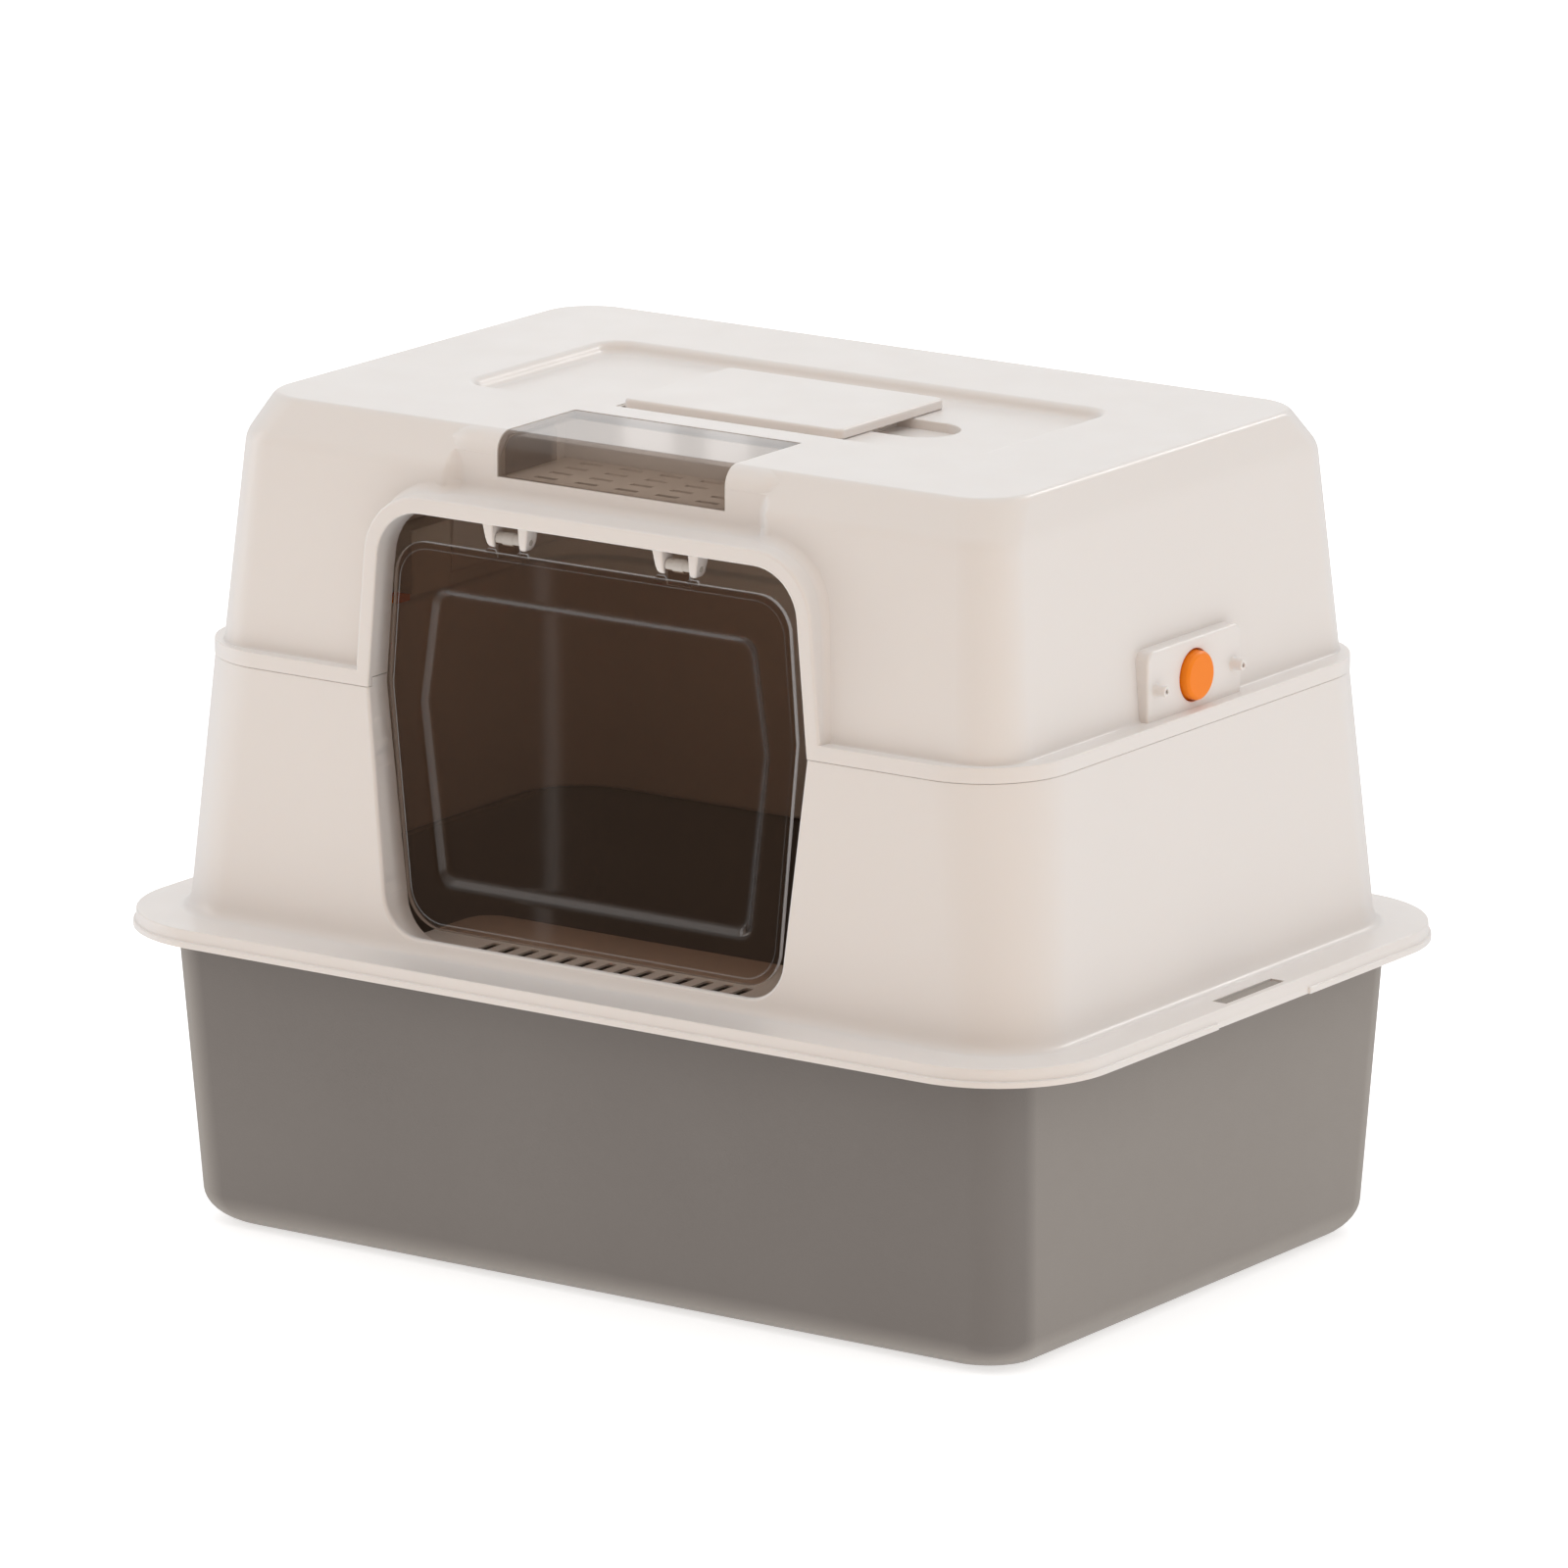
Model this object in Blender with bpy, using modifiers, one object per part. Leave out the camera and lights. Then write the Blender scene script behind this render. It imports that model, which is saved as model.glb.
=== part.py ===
"""Hooded cat litter box.

A grey litter pan, a lower hood that sits on its rim, an upper hood that sits on the lower one,
a smoky swing door, a smoky vent cover, a filter box with a hinged lid, and two sprung release
buttons. Lengths below are millimetres; the meshes are metres, +Z up, with the origin at the
bottom centre of the pan and the door facing -Y.
"""
import math

import bmesh
import bpy
from mathutils import Matrix, Vector

MM = 0.001

# ---- driving dimensions (millimetres) -------------------------------------------------------
WALL = 2.6                 # thickness of the hood mouldings
GAP = 0.3                  # clearance between pieces that touch
CORNER_STEPS = 6           # facets along each rounded corner

PAN_HEIGHT = 150.4
PAN_WALL = 2.8
PAN_FOOT = (235.2, 156.9)  # half width and half depth at the bottom
PAN_TOP = (241.8, 168.0)
PAN_CORNER = 23.4
PAN_FILLET = 16.0
RIM = (263.4, 183.7, 53.3)

FLANGE_Z = 153.4           # top of the lower hood's wide flange
SKIRT_Z = 144.9            # bottom of the flange's skirt
SEAM_Z = 276.1             # top edge of the lower hood's wall
LIP_Z = 280.4              # top of the lip that stands inside the upper hood
LEDGE_Z = 283.6            # top of the upper hood's ledge
SHOULDER_Z = 383.0         # start of the chamfer round the roof
ROOF_Z = 401.2
CENTRE_Y = 2.5             # the roof and side features are centred here

PORCH_Y = -158.3           # front face of the frame round the door
RETURN_Y = -143.6          # inner end of the door opening's sides
DOOR_TOP_Z = 362.5
DOOR_TOP_X = 116.5
DOOR_WIDE_Z = 276.4
DOOR_WIDE_X = 124.0
SILL_Z = 160.4             # top edge of the wall under the door
DOOR_FOOT_X = 111.2
SHELF_Z = 154.4            # step just inside the door
SHELF_BACK_Y = -85.0
BAND = 8.0                 # width of the frame round the door
SLOT_COUNT = 14
SLOT_PITCH = 11.08

AXIS_Y = -149.0            # axis of the door's hinge
AXIS_Z = 354.8
HINGE_X = 48.0             # middle of each hinge
PIN_RADIUS = 1.45
KNUCKLE_RADIUS = 3.5
KNUCKLE_HALF = 6.8
LUG_GAP_HALF = 7.2

VENT_HALF = 64.3           # half width of the vent window in the hood
VENT_FACE_Y = -137.0
VENT_BACK_Y = -75.2
VENT_SILL_Z = 380.3
VENT_BEND = 9.5            # outer radius of the cover's bend
COVER_WALL = 2.2

RECESS_Z = 395.7           # floor of the shallow recess in the roof
LID = (-62.0, 62.0, -41.0, 46.0)
LID_BOTTOM_Z = 396.0
LID_TOP_Z = 400.9
LID_AXIS = (-56.0, 393.2)  # x and z of the lid's hinge
WELL = (-68.4, 50.0, -43.4, 48.4)
TRAY_WALL = 1.8

PAD_X = 230.0              # outer face of the raised pad round each button
BUTTON_Z = 298.0
BUTTON_RADIUS = 12.2
BUTTON_HOLE = 13.0
BUTTON_PROUD = 4.7
PEG_SPACING = 32.3
PEG_RADIUS = 2.45
PEG_LENGTH = 6.0


# ---- scene ----------------------------------------------------------------------------------
for old in list(bpy.data.objects):
    bpy.data.objects.remove(old)

PARTS = bpy.data.collections.new("cat_litter_box")
CUTTERS = bpy.data.collections.new("cutters")
bpy.context.scene.collection.children.link(PARTS)
bpy.context.scene.collection.children.link(CUTTERS)


def plastic(name, colour, roughness, alpha=1.0, metallic=0.0):
    """A Principled material for one piece."""
    material = bpy.data.materials.new(name)
    material.use_nodes = True
    shader = material.node_tree.nodes["Principled BSDF"]
    shader.inputs["Base Color"].default_value = (*colour, 1.0)
    shader.inputs["Roughness"].default_value = roughness
    shader.inputs["Metallic"].default_value = metallic
    shader.inputs["Alpha"].default_value = alpha
    return material


CREAM = (0.78, 0.72, 0.66)
GREY = (0.22, 0.21, 0.19)
SMOKE = (0.10, 0.08, 0.07)
CLEAR = (0.75, 0.70, 0.66)
ORANGE = (0.90, 0.25, 0.05)
STEEL = (0.60, 0.60, 0.60)


def new_object(name, mesh, tool):
    """Wrap a mesh; tools go in the cutters' collection and stay out of renders."""
    obj = bpy.data.objects.new(name, mesh)
    (CUTTERS if tool else PARTS).objects.link(obj)
    if tool:
        obj.hide_render = True
        obj.display_type = "WIRE"
    return obj


def from_bmesh(name, bm, tool):
    bmesh.ops.recalc_face_normals(bm, faces=bm.faces)
    mesh = bpy.data.meshes.new(name)
    bm.to_mesh(mesh)
    bm.free()
    return new_object(name, mesh, tool)


def evaluated_mesh(obj):
    depsgraph = bpy.context.evaluated_depsgraph_get()
    return bpy.data.meshes.new_from_object(obj.evaluated_get(depsgraph))


# ---- outlines -------------------------------------------------------------------------------
def rounded_rect(half_x, half_y, radius, centre=(0.0, 0.0)):
    """Outline of a rectangle with round corners, anticlockwise."""
    points = []
    for quarter in range(4):
        side_x = 1 if quarter in (0, 3) else -1
        side_y = 1 if quarter in (0, 1) else -1
        for step in range(CORNER_STEPS + 1):
            angle = math.pi / 2 * (quarter + step / CORNER_STEPS)
            x = centre[0] + side_x * (half_x - radius) + radius * math.cos(angle)
            y = centre[1] + side_y * (half_y - radius) + radius * math.sin(angle)
            points.append((x, y))
    return points


def rounded_polygon(corners, steps=CORNER_STEPS):
    """Outline through (x, y, radius) corners, each rounded by its own radius."""
    points = []
    for index, (x, y, radius) in enumerate(corners):
        here = Vector((x, y))
        before = (Vector(corners[index - 1][:2]) - here).normalized()
        after = (Vector(corners[(index + 1) % len(corners)][:2]) - here).normalized()
        if radius == 0:
            points.append((x, y))
            continue
        half = before.angle(after) / 2
        middle = here + (before + after).normalized() * radius / math.sin(half)
        start = here + before * radius / math.tan(half) - middle
        end = here + after * radius / math.tan(half) - middle
        sweep = start.angle_signed(end)
        for step in range(steps + 1):
            turned = Matrix.Rotation(-sweep * step / steps, 2) @ start
            points.append(tuple(middle + turned))
    return points


def door_outline(spread, foot_z, foot_radius, top_radius=24.0):
    """Six-sided outline of the door opening, widest at the seam; spread moves it outwards."""
    slope = (DOOR_WIDE_X - DOOR_FOOT_X) / (DOOR_WIDE_Z - SILL_Z)
    foot_x = DOOR_FOOT_X + (foot_z - SILL_Z) * slope
    right = [
        (DOOR_TOP_X + spread, DOOR_TOP_Z + spread, top_radius),
        (DOOR_WIDE_X + spread, DOOR_WIDE_Z, 0),
        (foot_x + spread, foot_z, foot_radius),
    ]
    left = [(-x, z, radius) for x, z, radius in reversed(right)]
    return rounded_polygon(right + left)


# ---- solids ---------------------------------------------------------------------------------
def loft(name, rings, tool=False):
    """Closed solid through rings of (x, y, z) points, all with the same count."""
    bm = bmesh.new()
    loops = [[bm.verts.new(Vector(point) * MM) for point in ring] for ring in rings]
    count = len(loops[0])
    for lower, upper in zip(loops, loops[1:]):
        for i in range(count):
            j = (i + 1) % count
            bm.faces.new((lower[i], lower[j], upper[j], upper[i]))
    bm.faces.new(reversed(loops[0]))
    bm.faces.new(loops[-1])
    return from_bmesh(name, bm, tool)


def shell_loft(name, sections, tool=True, centre=(0.0, 0.0)):
    """Loft through rounded rectangles given as (half_x, half_y, radius, z)."""
    rings = []
    for half_x, half_y, radius, z in sections:
        outline = rounded_rect(half_x, half_y, radius, centre)
        rings.append([(x, y, z) for x, y in outline])
    return loft(name, rings, tool)


def plate(name, outline, plane, low, high, tool=False):
    """Flat plate with the given outline, from low to high along the plane's normal."""
    curve = bpy.data.curves.new(name, "CURVE")
    curve.dimensions = "2D"
    curve.fill_mode = "BOTH"
    curve.extrude = (high - low) / 2 * MM
    spline = curve.splines.new("POLY")
    spline.points.add(len(outline) - 1)
    for point, (x, y) in zip(spline.points, outline):
        point.co = (x * MM, y * MM, 0, 1)
    spline.use_cyclic_u = True
    guide = new_object(name + "_outline", curve, True)
    mesh = evaluated_mesh(guide)
    bpy.data.objects.remove(guide)
    middle = (low + high) / 2 * MM
    if plane == "XZ":
        turn = Matrix(((1, 0, 0), (0, 0, 1), (0, 1, 0))).to_4x4()
        shift = Vector((0, middle, 0))
    elif plane == "YZ":
        turn = Matrix(((0, 0, 1), (1, 0, 0), (0, 1, 0))).to_4x4()
        shift = Vector((middle, 0, 0))
    else:
        turn = Matrix.Identity(4)
        shift = Vector((0, 0, middle))
    bm = bmesh.new()
    bm.from_mesh(mesh)
    bpy.data.meshes.remove(mesh)
    bmesh.ops.remove_doubles(bm, verts=bm.verts, dist=0.01 * MM)
    bmesh.ops.transform(bm, matrix=Matrix.Translation(shift) @ turn, verts=bm.verts)
    return from_bmesh(name, bm, tool)


def boxes(name, spans, tool=True):
    """One mesh of separate boxes, each given as (x0, x1, y0, y1, z0, z1)."""
    bm = bmesh.new()
    for x0, x1, y0, y1, z0, z1 in spans:
        size = Vector((x1 - x0, y1 - y0, z1 - z0)) * MM
        centre = Vector((x0 + x1, y0 + y1, z0 + z1)) * MM / 2
        matrix = Matrix.Translation(centre) @ Matrix.Diagonal((*size, 1.0))
        bmesh.ops.create_cube(bm, size=1.0, matrix=matrix)
    return from_bmesh(name, bm, tool)


AXIS_TURN = {
    "X": Matrix.Rotation(math.pi / 2, 4, "Y"),
    "Y": Matrix.Rotation(-math.pi / 2, 4, "X"),
    "Z": Matrix.Identity(4),
}


def rods(name, spans, axis, segments=16, tool=True):
    """One mesh of separate rods, each (centre_a, centre_b, low, high, low_r, high_r)."""
    bm = bmesh.new()
    for a, b, low, high, low_radius, high_radius in spans:
        middle = (low + high) / 2
        centre = {"X": (middle, a, b), "Y": (a, middle, b), "Z": (a, b, middle)}[axis]
        matrix = Matrix.Translation(Vector(centre) * MM) @ AXIS_TURN[axis]
        bmesh.ops.create_cone(bm, cap_ends=True, segments=segments, radius1=low_radius * MM,
                              radius2=high_radius * MM, depth=(high - low) * MM, matrix=matrix)
    return from_bmesh(name, bm, tool)


def turned(name, profile, place, material, steps=24):
    """Solid of revolution: (radius, height) points, from the top centre down the outside."""
    bm = bmesh.new()
    verts = [bm.verts.new((radius * MM, 0, height * MM)) for radius, height in profile]
    for first, second in zip(verts, verts[1:]):
        bm.edges.new((first, second))
    mesh = bpy.data.meshes.new(name)
    bm.to_mesh(mesh)
    bm.free()
    obj = new_object(name, mesh, False)
    screw = obj.modifiers.new("turn", "SCREW")
    screw.steps = steps
    screw.render_steps = steps
    screw.use_merge_vertices = True
    screw.merge_threshold = 0.00001
    obj.matrix_world = place
    mesh.materials.append(material)
    return obj


def combine(target, operation, tool):
    modifier = target.modifiers.new(operation.lower() + "_" + tool.name, "BOOLEAN")
    modifier.operation = operation
    modifier.object = tool
    return target


def cut(target, *tools):
    for tool in tools:
        combine(target, "DIFFERENCE", tool)


def add(target, *tools):
    for tool in tools:
        combine(target, "UNION", tool)


def finish(obj, material, origin=(0.0, 0.0, 0.0)):
    """Give a piece its material and put its origin on its joint or reference point."""
    if material.name not in obj.data.materials:
        obj.data.materials.append(material)
    shift = Vector(origin) * MM
    obj.data.transform(Matrix.Translation(-shift))
    obj.location = shift
    return obj


SIDES = (("right", 1), ("left", -1))


def side_span(side, x0, x1, y0, y1, z0, z1):
    """A box span on the right, or its mirror image on the left."""
    if side > 0:
        return (x0, x1, y0, y1, z0, z1)
    return (-x1, -x0, y0, y1, z0, z1)


def side_rod(side, y, z, x0, x1, inner_radius, outer_radius):
    """A rod along X on the right, or its mirror image on the left."""
    if side > 0:
        return (y, z, x0, x1, inner_radius, outer_radius)
    return (y, z, -x1, -x0, outer_radius, inner_radius)


# ---- litter pan -----------------------------------------------------------------------------
def pan_sections(inset, floor_z, top_z):
    """Tapered tub with a rounded bottom edge."""
    fillet = PAN_FILLET - inset
    sections = []
    for step in range(5):
        angle = math.pi / 2 * step / 4
        z = floor_z + fillet * (1 - math.cos(angle))
        pull = fillet * (1 - math.sin(angle)) + inset
        rise = z / SKIRT_Z
        half_x = PAN_FOOT[0] + (PAN_TOP[0] - PAN_FOOT[0]) * rise - pull
        half_y = PAN_FOOT[1] + (PAN_TOP[1] - PAN_FOOT[1]) * rise - pull
        sections.append((half_x, half_y, PAN_CORNER - inset, z))
    sections.append((PAN_TOP[0] - inset, PAN_TOP[1] - inset, PAN_CORNER - inset, top_z))
    return sections


def litter_pan():
    rim_bottom = PAN_HEIGHT - 3.2
    outside = pan_sections(0.0, 0.0, rim_bottom)
    outside += [(*RIM, rim_bottom), (*RIM, PAN_HEIGHT)]
    pan = shell_loft("litter_pan", outside, tool=False)
    cut(pan, shell_loft("pan_hollow", pan_sections(PAN_WALL, PAN_WALL, PAN_HEIGHT + 2.0)))
    tongues = [side_span(side, 257.6, 263.2, CENTRE_Y - 24, CENTRE_Y + 24, 148.0, 152.7)
               for _, side in SIDES]
    add(pan, boxes("pan_tongues", tongues))
    return finish(pan, plastic("pan_grey", GREY, 0.75))


# ---- lower hood -----------------------------------------------------------------------------
def lower_hood():
    outside = [
        (270.0, 190.3, 60.0, SKIRT_Z),
        (270.0, 190.3, 60.0, 147.3),
        (268.8, 189.1, 58.8, 147.9),
        (268.3, 188.7, 58.0, 152.4),
        (267.3, 187.7, 57.0, FLANGE_Z),
        (252.8, 170.2, 45.5, FLANGE_Z),
        (248.0, 165.4, 40.7, 154.9),
        (244.9, 162.4, 37.6, 160.0),
        (236.3, 158.0, 45.0, SEAM_Z),
        (233.3, 155.0, 42.0, SEAM_Z),
        (233.3, 155.0, 42.0, LIP_Z),
    ]
    inside = [
        (267.4, 187.8, 57.5, SKIRT_Z - 1.0),
        (265.9, 186.3, 56.0, FLANGE_Z - WALL),
        (242.5, 159.9, 35.2, FLANGE_Z - WALL),
        (234.4, 155.6, 42.0, 268.0),
        (230.8, 152.5, 39.5, 271.6),
        (230.8, 152.5, 39.5, LIP_Z + 1.0),
    ]
    hood = shell_loft("lower_hood", outside, tool=False)
    hollow = shell_loft("lower_hollow", inside)

    # the sides of the door opening and the step behind it stay solid inside the hollow
    frame = plate("lower_frame", door_outline(WALL, SHELF_Z - 2.4, 24.0), "XZ",
                  -175.0, RETURN_Y, tool=True)
    cut(frame, plate("lower_mouth", door_outline(0.0, SHELF_Z, 21.6), "XZ",
                     -180.0, RETURN_Y + 5.0, tool=True))
    step_outline = rounded_polygon([(112, -175, 0), (112, SHELF_BACK_Y, 14),
                                    (-112, SHELF_BACK_Y, 14), (-112, -175, 0)])
    step = plate("entry_step", step_outline, "XY", SHELF_Z - 2.4, SHELF_Z, tool=True)
    step_lip = boxes("step_lip", [(-97, 97, SHELF_BACK_Y - 2.4, SHELF_BACK_Y, 147.5, SHELF_Z)])
    cut(hollow, frame, step, step_lip)
    opening = plate("lower_opening", door_outline(0.0, SILL_Z, 20.0), "XZ",
                    -200.0, -150.0, tool=True)

    middle = (SLOT_COUNT - 1) / 2
    slots = []
    for index in range(SLOT_COUNT):
        x = (index - middle) * SLOT_PITCH
        slots.append((x - 2.4, x + 2.4, -150.0, -128.0, SHELF_Z - 5, SHELF_Z + 2))
    windows = [side_span(side, 257.0, 264.8, CENTRE_Y - 25, CENTRE_Y + 25, 149, 156)
               for _, side in SIDES]
    plain_skirt = [side_span(side, 268.75, 274, CENTRE_Y - 39, CENTRE_Y + 39, 143, 147.95)
                   for _, side in SIDES]
    cut(hood, hollow, opening, boxes("step_slots", slots), boxes("flange_windows", windows),
        boxes("plain_skirt", plain_skirt))
    return finish(hood, plastic("lower_hood_cream", CREAM, 0.4))


# ---- upper hood -----------------------------------------------------------------------------
def hinge_lugs():
    """Tapered lugs that hang from the top of the door opening, a pair at each hinge."""
    lugs = []
    for middle in (-HINGE_X, HINGE_X):
        for way in (-1, 1):
            rings = []
            for width, half_depth, z in ((6.4, 5.0, DOOR_TOP_Z + 1), (4.6, 4.2, AXIS_Z),
                                         (3.0, 2.4, AXIS_Z - 4.6)):
                inner = middle + way * LUG_GAP_HALF
                outer = inner + way * width
                low, high = min(inner, outer), max(inner, outer)
                front, back = AXIS_Y - half_depth, AXIS_Y + half_depth
                rings.append([(low, front, z), (low, back, z), (high, back, z), (high, front, z)])
            lugs.append(loft("hinge_lug", rings, tool=True))
    return lugs


def well_cutters():
    """The roof's shallow recess, the filter box's well and the finger notch beside the lid."""
    recess = shell_loft("roof_recess", [(138.0, 55.5, 9.0, RECESS_Z), (143.0, 60.5, 13.0, 402.0)],
                        centre=(0.0, CENTRE_Y + 2))
    well = boxes("filter_well", [(*WELL, 380.0, 397.0)])
    notch_outline = rounded_polygon([(52.5, CENTRE_Y - 17, 0), (96.0, CENTRE_Y - 17, 16.5),
                                     (96.0, CENTRE_Y + 17, 16.5), (52.5, CENTRE_Y + 17, 0)])
    notch = plate("finger_notch", notch_outline, "XY", 386.5, 399.0, tool=True)
    return recess, well, notch


def bent_profile(face_y, top_z, inset, foot_z, back_y):
    """Side outline (y, z) up the vent's face, round its bend and back along the roof."""
    radius = VENT_BEND - inset
    points = [(face_y + inset, foot_z)]
    for step in range(7):
        angle = math.pi / 2 * step / 6
        y = face_y + VENT_BEND - radius * math.cos(angle)
        z = top_z - VENT_BEND + radius * math.sin(angle)
        points.append((y, z))
    points.append((back_y, top_z - inset))
    return points


VENT_BOSSES = [(side * 71.0, -100.0) for _, side in SIDES]
FILTER_BOSSES = [(x, y) for x in (-30.0, 30.0) for y in (WELL[2] - 4.9, WELL[3] + 4.9)]
VENT_BOSS_Z = 392.3
FILTER_BOSS_Z = 388.3


def upper_hood():
    outside = [
        (236.5, 158.3, 45.0, SEAM_Z + GAP),
        (236.5, 158.3, 45.0, LEDGE_Z - 0.7),
        (235.8, 157.6, 44.3, LEDGE_Z),
        (225.6, 151.4, 24.5, LEDGE_Z),
        (224.2, 150.0, 23.1, LEDGE_Z + 1.4),
        (217.1, 142.5, 22.8, SHOULDER_Z),
        (211.3, 131.2, 25.9, ROOF_Z - 1.7),
        (209.6, 128.6, 25.9, ROOF_Z),
    ]
    inside = [
        (233.7, 155.5, 42.2, SEAM_Z - 1.0),
        (233.7, 155.5, 42.2, LEDGE_Z - WALL - 0.1),
        (221.5, 147.3, 20.4, LEDGE_Z - WALL - 0.1),
        (214.5, 139.9, 20.2, SHOULDER_Z - 1.0),
        (208.4, 128.0, 23.5, ROOF_Z - WALL),
    ]
    hood = shell_loft("upper_hood", outside, tool=False)
    hollow = shell_loft("upper_hollow", inside)

    porch = plate("porch", door_outline(BAND, SEAM_Z + GAP - 60, 0, top_radius=32.0), "XZ",
                  PORCH_Y, RETURN_Y, tool=True)
    cut(porch, boxes("porch_below", [(-150, 150, -200, -100, 150, SEAM_Z + GAP)]))
    pads = boxes("button_pads", [side_span(side, 215, PAD_X, CENTRE_Y - 39.5, CENTRE_Y + 39.5,
                                           LEDGE_Z - 2, 316.5) for _, side in SIDES])
    bevel = pads.modifiers.new("round", "BEVEL")
    bevel.width = 2.0 * MM
    bevel.segments = 2
    pegs = rods("pegs", [side_rod(side, CENTRE_Y + way * PEG_SPACING, BUTTON_Z, PAD_X - 2,
                                  PAD_X + PEG_LENGTH, PEG_RADIUS + 0.4, PEG_RADIUS)
                         for _, side in SIDES for way in (-1, 1)], "X", segments=12)
    # the surround of the vent bends from the recess up to the roof like its cover
    brow_outline = bent_profile(VENT_FACE_Y, ROOF_Z - 0.05, 0.0, DOOR_TOP_Z + BAND, -118.0)
    brow = plate("brow", brow_outline + [(-118.0, DOOR_TOP_Z + BAND)], "YZ", -87.9, 87.9, tool=True)
    add(hood, porch, pads, brow)

    # walls that stay solid inside the hollow: behind the vent, under the recess, round the notch
    keep = boxes("liners", [
        (-91, 91, -150, VENT_FACE_Y + WALL, DOOR_TOP_Z, 399.5),
        (-147, 147, -59, 68, RECESS_Z - 2.4, 399.2),
    ])
    notch_liner = boxes("notch_liner", [(WELL[1], 99.5, CENTRE_Y - 19.6, CENTRE_Y + 19.6,
                                         383.9, 394.5)])
    frame = plate("upper_frame", door_outline(BAND, SEAM_Z - 60, 0, top_radius=32.0), "XZ",
                  -160.0, RETURN_Y, tool=True)
    cut(frame, boxes("frame_below", [(-150, 150, -200, -100, 150, LIP_Z + 0.4)]))
    bosses = [(x, y, VENT_BOSS_Z, 400.0, 4.0, 4.0) for x, y in VENT_BOSSES]
    bosses += [(x, y, FILTER_BOSS_Z, 394.5, 3.8, 3.8) for x, y in FILTER_BOSSES]
    cut(hollow, keep, notch_liner, frame, rods("bosses", bosses, "Z", segments=10))
    pad_hollows = boxes("pad_hollows", [side_span(side, 205, PAD_X - WALL, CENTRE_Y - 36.9,
                                                  CENTRE_Y + 36.9, SEAM_Z, 313.9)
                                        for _, side in SIDES])
    opening = plate("upper_opening", door_outline(0.0, SILL_Z, 20.0), "XZ",
                    -200.0, RETURN_Y + 8, tool=True)
    front_recess = plate("front_recess", rounded_rect(88, 16.5, 7, centre=(0, VENT_FACE_Y - 16.5)),
                         "XY", DOOR_TOP_Z + BAND, 402.0, tool=True)
    window = boxes("vent_window", [(-VENT_HALF, VENT_HALF, -150, VENT_BACK_Y, VENT_SILL_Z, 405)])
    cut(hood, hollow, pad_hollows, opening, front_recess, window, *well_cutters())
    add(hood, pegs, *hinge_lugs())
    bores = [side_rod(side, CENTRE_Y + way * PEG_SPACING, BUTTON_Z, PAD_X - 8, PAD_X + 8, 1.15, 1.15)
             for _, side in SIDES for way in (-1, 1)]
    cut(hood,
        rods("peg_bores", bores, "X", segments=8),
        rods("button_holes", [side_rod(side, CENTRE_Y, BUTTON_Z, PAD_X - 8, PAD_X + 8,
                                       BUTTON_HOLE, BUTTON_HOLE) for _, side in SIDES],
             "X", segments=28),
        rods("pin_bores", [(AXIS_Y, AXIS_Z, x - 15, x + 15, PIN_RADIUS + 0.1, PIN_RADIUS + 0.1)
                           for x in (-HINGE_X, HINGE_X)], "X", segments=12),
        rods("boss_bores", [(x, y, VENT_BOSS_Z - 2, 397.5, 1.2, 1.2) for x, y in VENT_BOSSES]
             + [(x, y, FILTER_BOSS_Z - 2, 393.8, 1.2, 1.2) for x, y in FILTER_BOSSES],
             "Z", segments=8))
    return finish(hood, plastic("upper_hood_cream", CREAM, 0.4))


# ---- entry door -----------------------------------------------------------------------------
def entry_door():
    """Smoky swing flap: a thin sheet with its middle pressed back, and two hinge knuckles."""
    rim_front = AXIS_Y - 3.69
    sheet = 2.4
    pressed = 4.0
    edge = [(110.5, 348.6, 18), (115.5, 281.0, 0), (104.5, 163.5, 20)]
    bend = [(91.0, 327.0, 8), (99.0, 272.0, 0), (88.5, 184.5, 8)]
    floor = [(87.0, 323.0, 6), (94.8, 272.0, 0), (84.5, 189.0, 6)]

    def ring(corners, y):
        outline = rounded_polygon(corners + [(-x, z, r) for x, z, r in reversed(corners)])
        return [(x, y, z) for x, z in outline]

    rings = [ring(floor, rim_front + pressed), ring(bend, rim_front), ring(edge, rim_front),
             ring(edge, rim_front + sheet), ring(bend, rim_front + sheet),
             ring(floor, rim_front + sheet + pressed)]
    door = loft("entry_door", rings)
    webs = boxes("knuckle_webs", [(x - KNUCKLE_HALF, x + KNUCKLE_HALF, AXIS_Y - 2.6, AXIS_Y - 0.4,
                                   346.0, AXIS_Z - 1) for x in (-HINGE_X, HINGE_X)])
    knuckles = rods("knuckles", [(AXIS_Y, AXIS_Z, x - KNUCKLE_HALF, x + KNUCKLE_HALF,
                                  KNUCKLE_RADIUS, KNUCKLE_RADIUS) for x in (-HINGE_X, HINGE_X)],
                    "X", segments=14)
    bores = rods("knuckle_bores", [(AXIS_Y, AXIS_Z, x - 10, x + 10, PIN_RADIUS + 0.15,
                                    PIN_RADIUS + 0.15) for x in (-HINGE_X, HINGE_X)],
                 "X", segments=12)
    add(door, knuckles, webs)
    cut(door, bores)
    return finish(door, plastic("door_smoke", SMOKE, 0.08, alpha=0.5), (0, AXIS_Y, AXIS_Z))


def hinge_pins():
    material = plastic("pin_clear", CLEAR, 0.15)
    for name, x in (("left", -HINGE_X), ("right", HINGE_X)):
        pin = rods("hinge_pin_" + name, [(AXIS_Y, AXIS_Z, x - 11.6, x + 11.6, PIN_RADIUS,
                                          PIN_RADIUS)], "X", segments=12, tool=False)
        finish(pin, material, (x, AXIS_Y, AXIS_Z))


# ---- vent -----------------------------------------------------------------------------------
def cover_profile(inset, foot_z, back_y):
    return bent_profile(VENT_FACE_Y + 0.1, ROOF_Z - 0.2, inset, foot_z, back_y)


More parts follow.
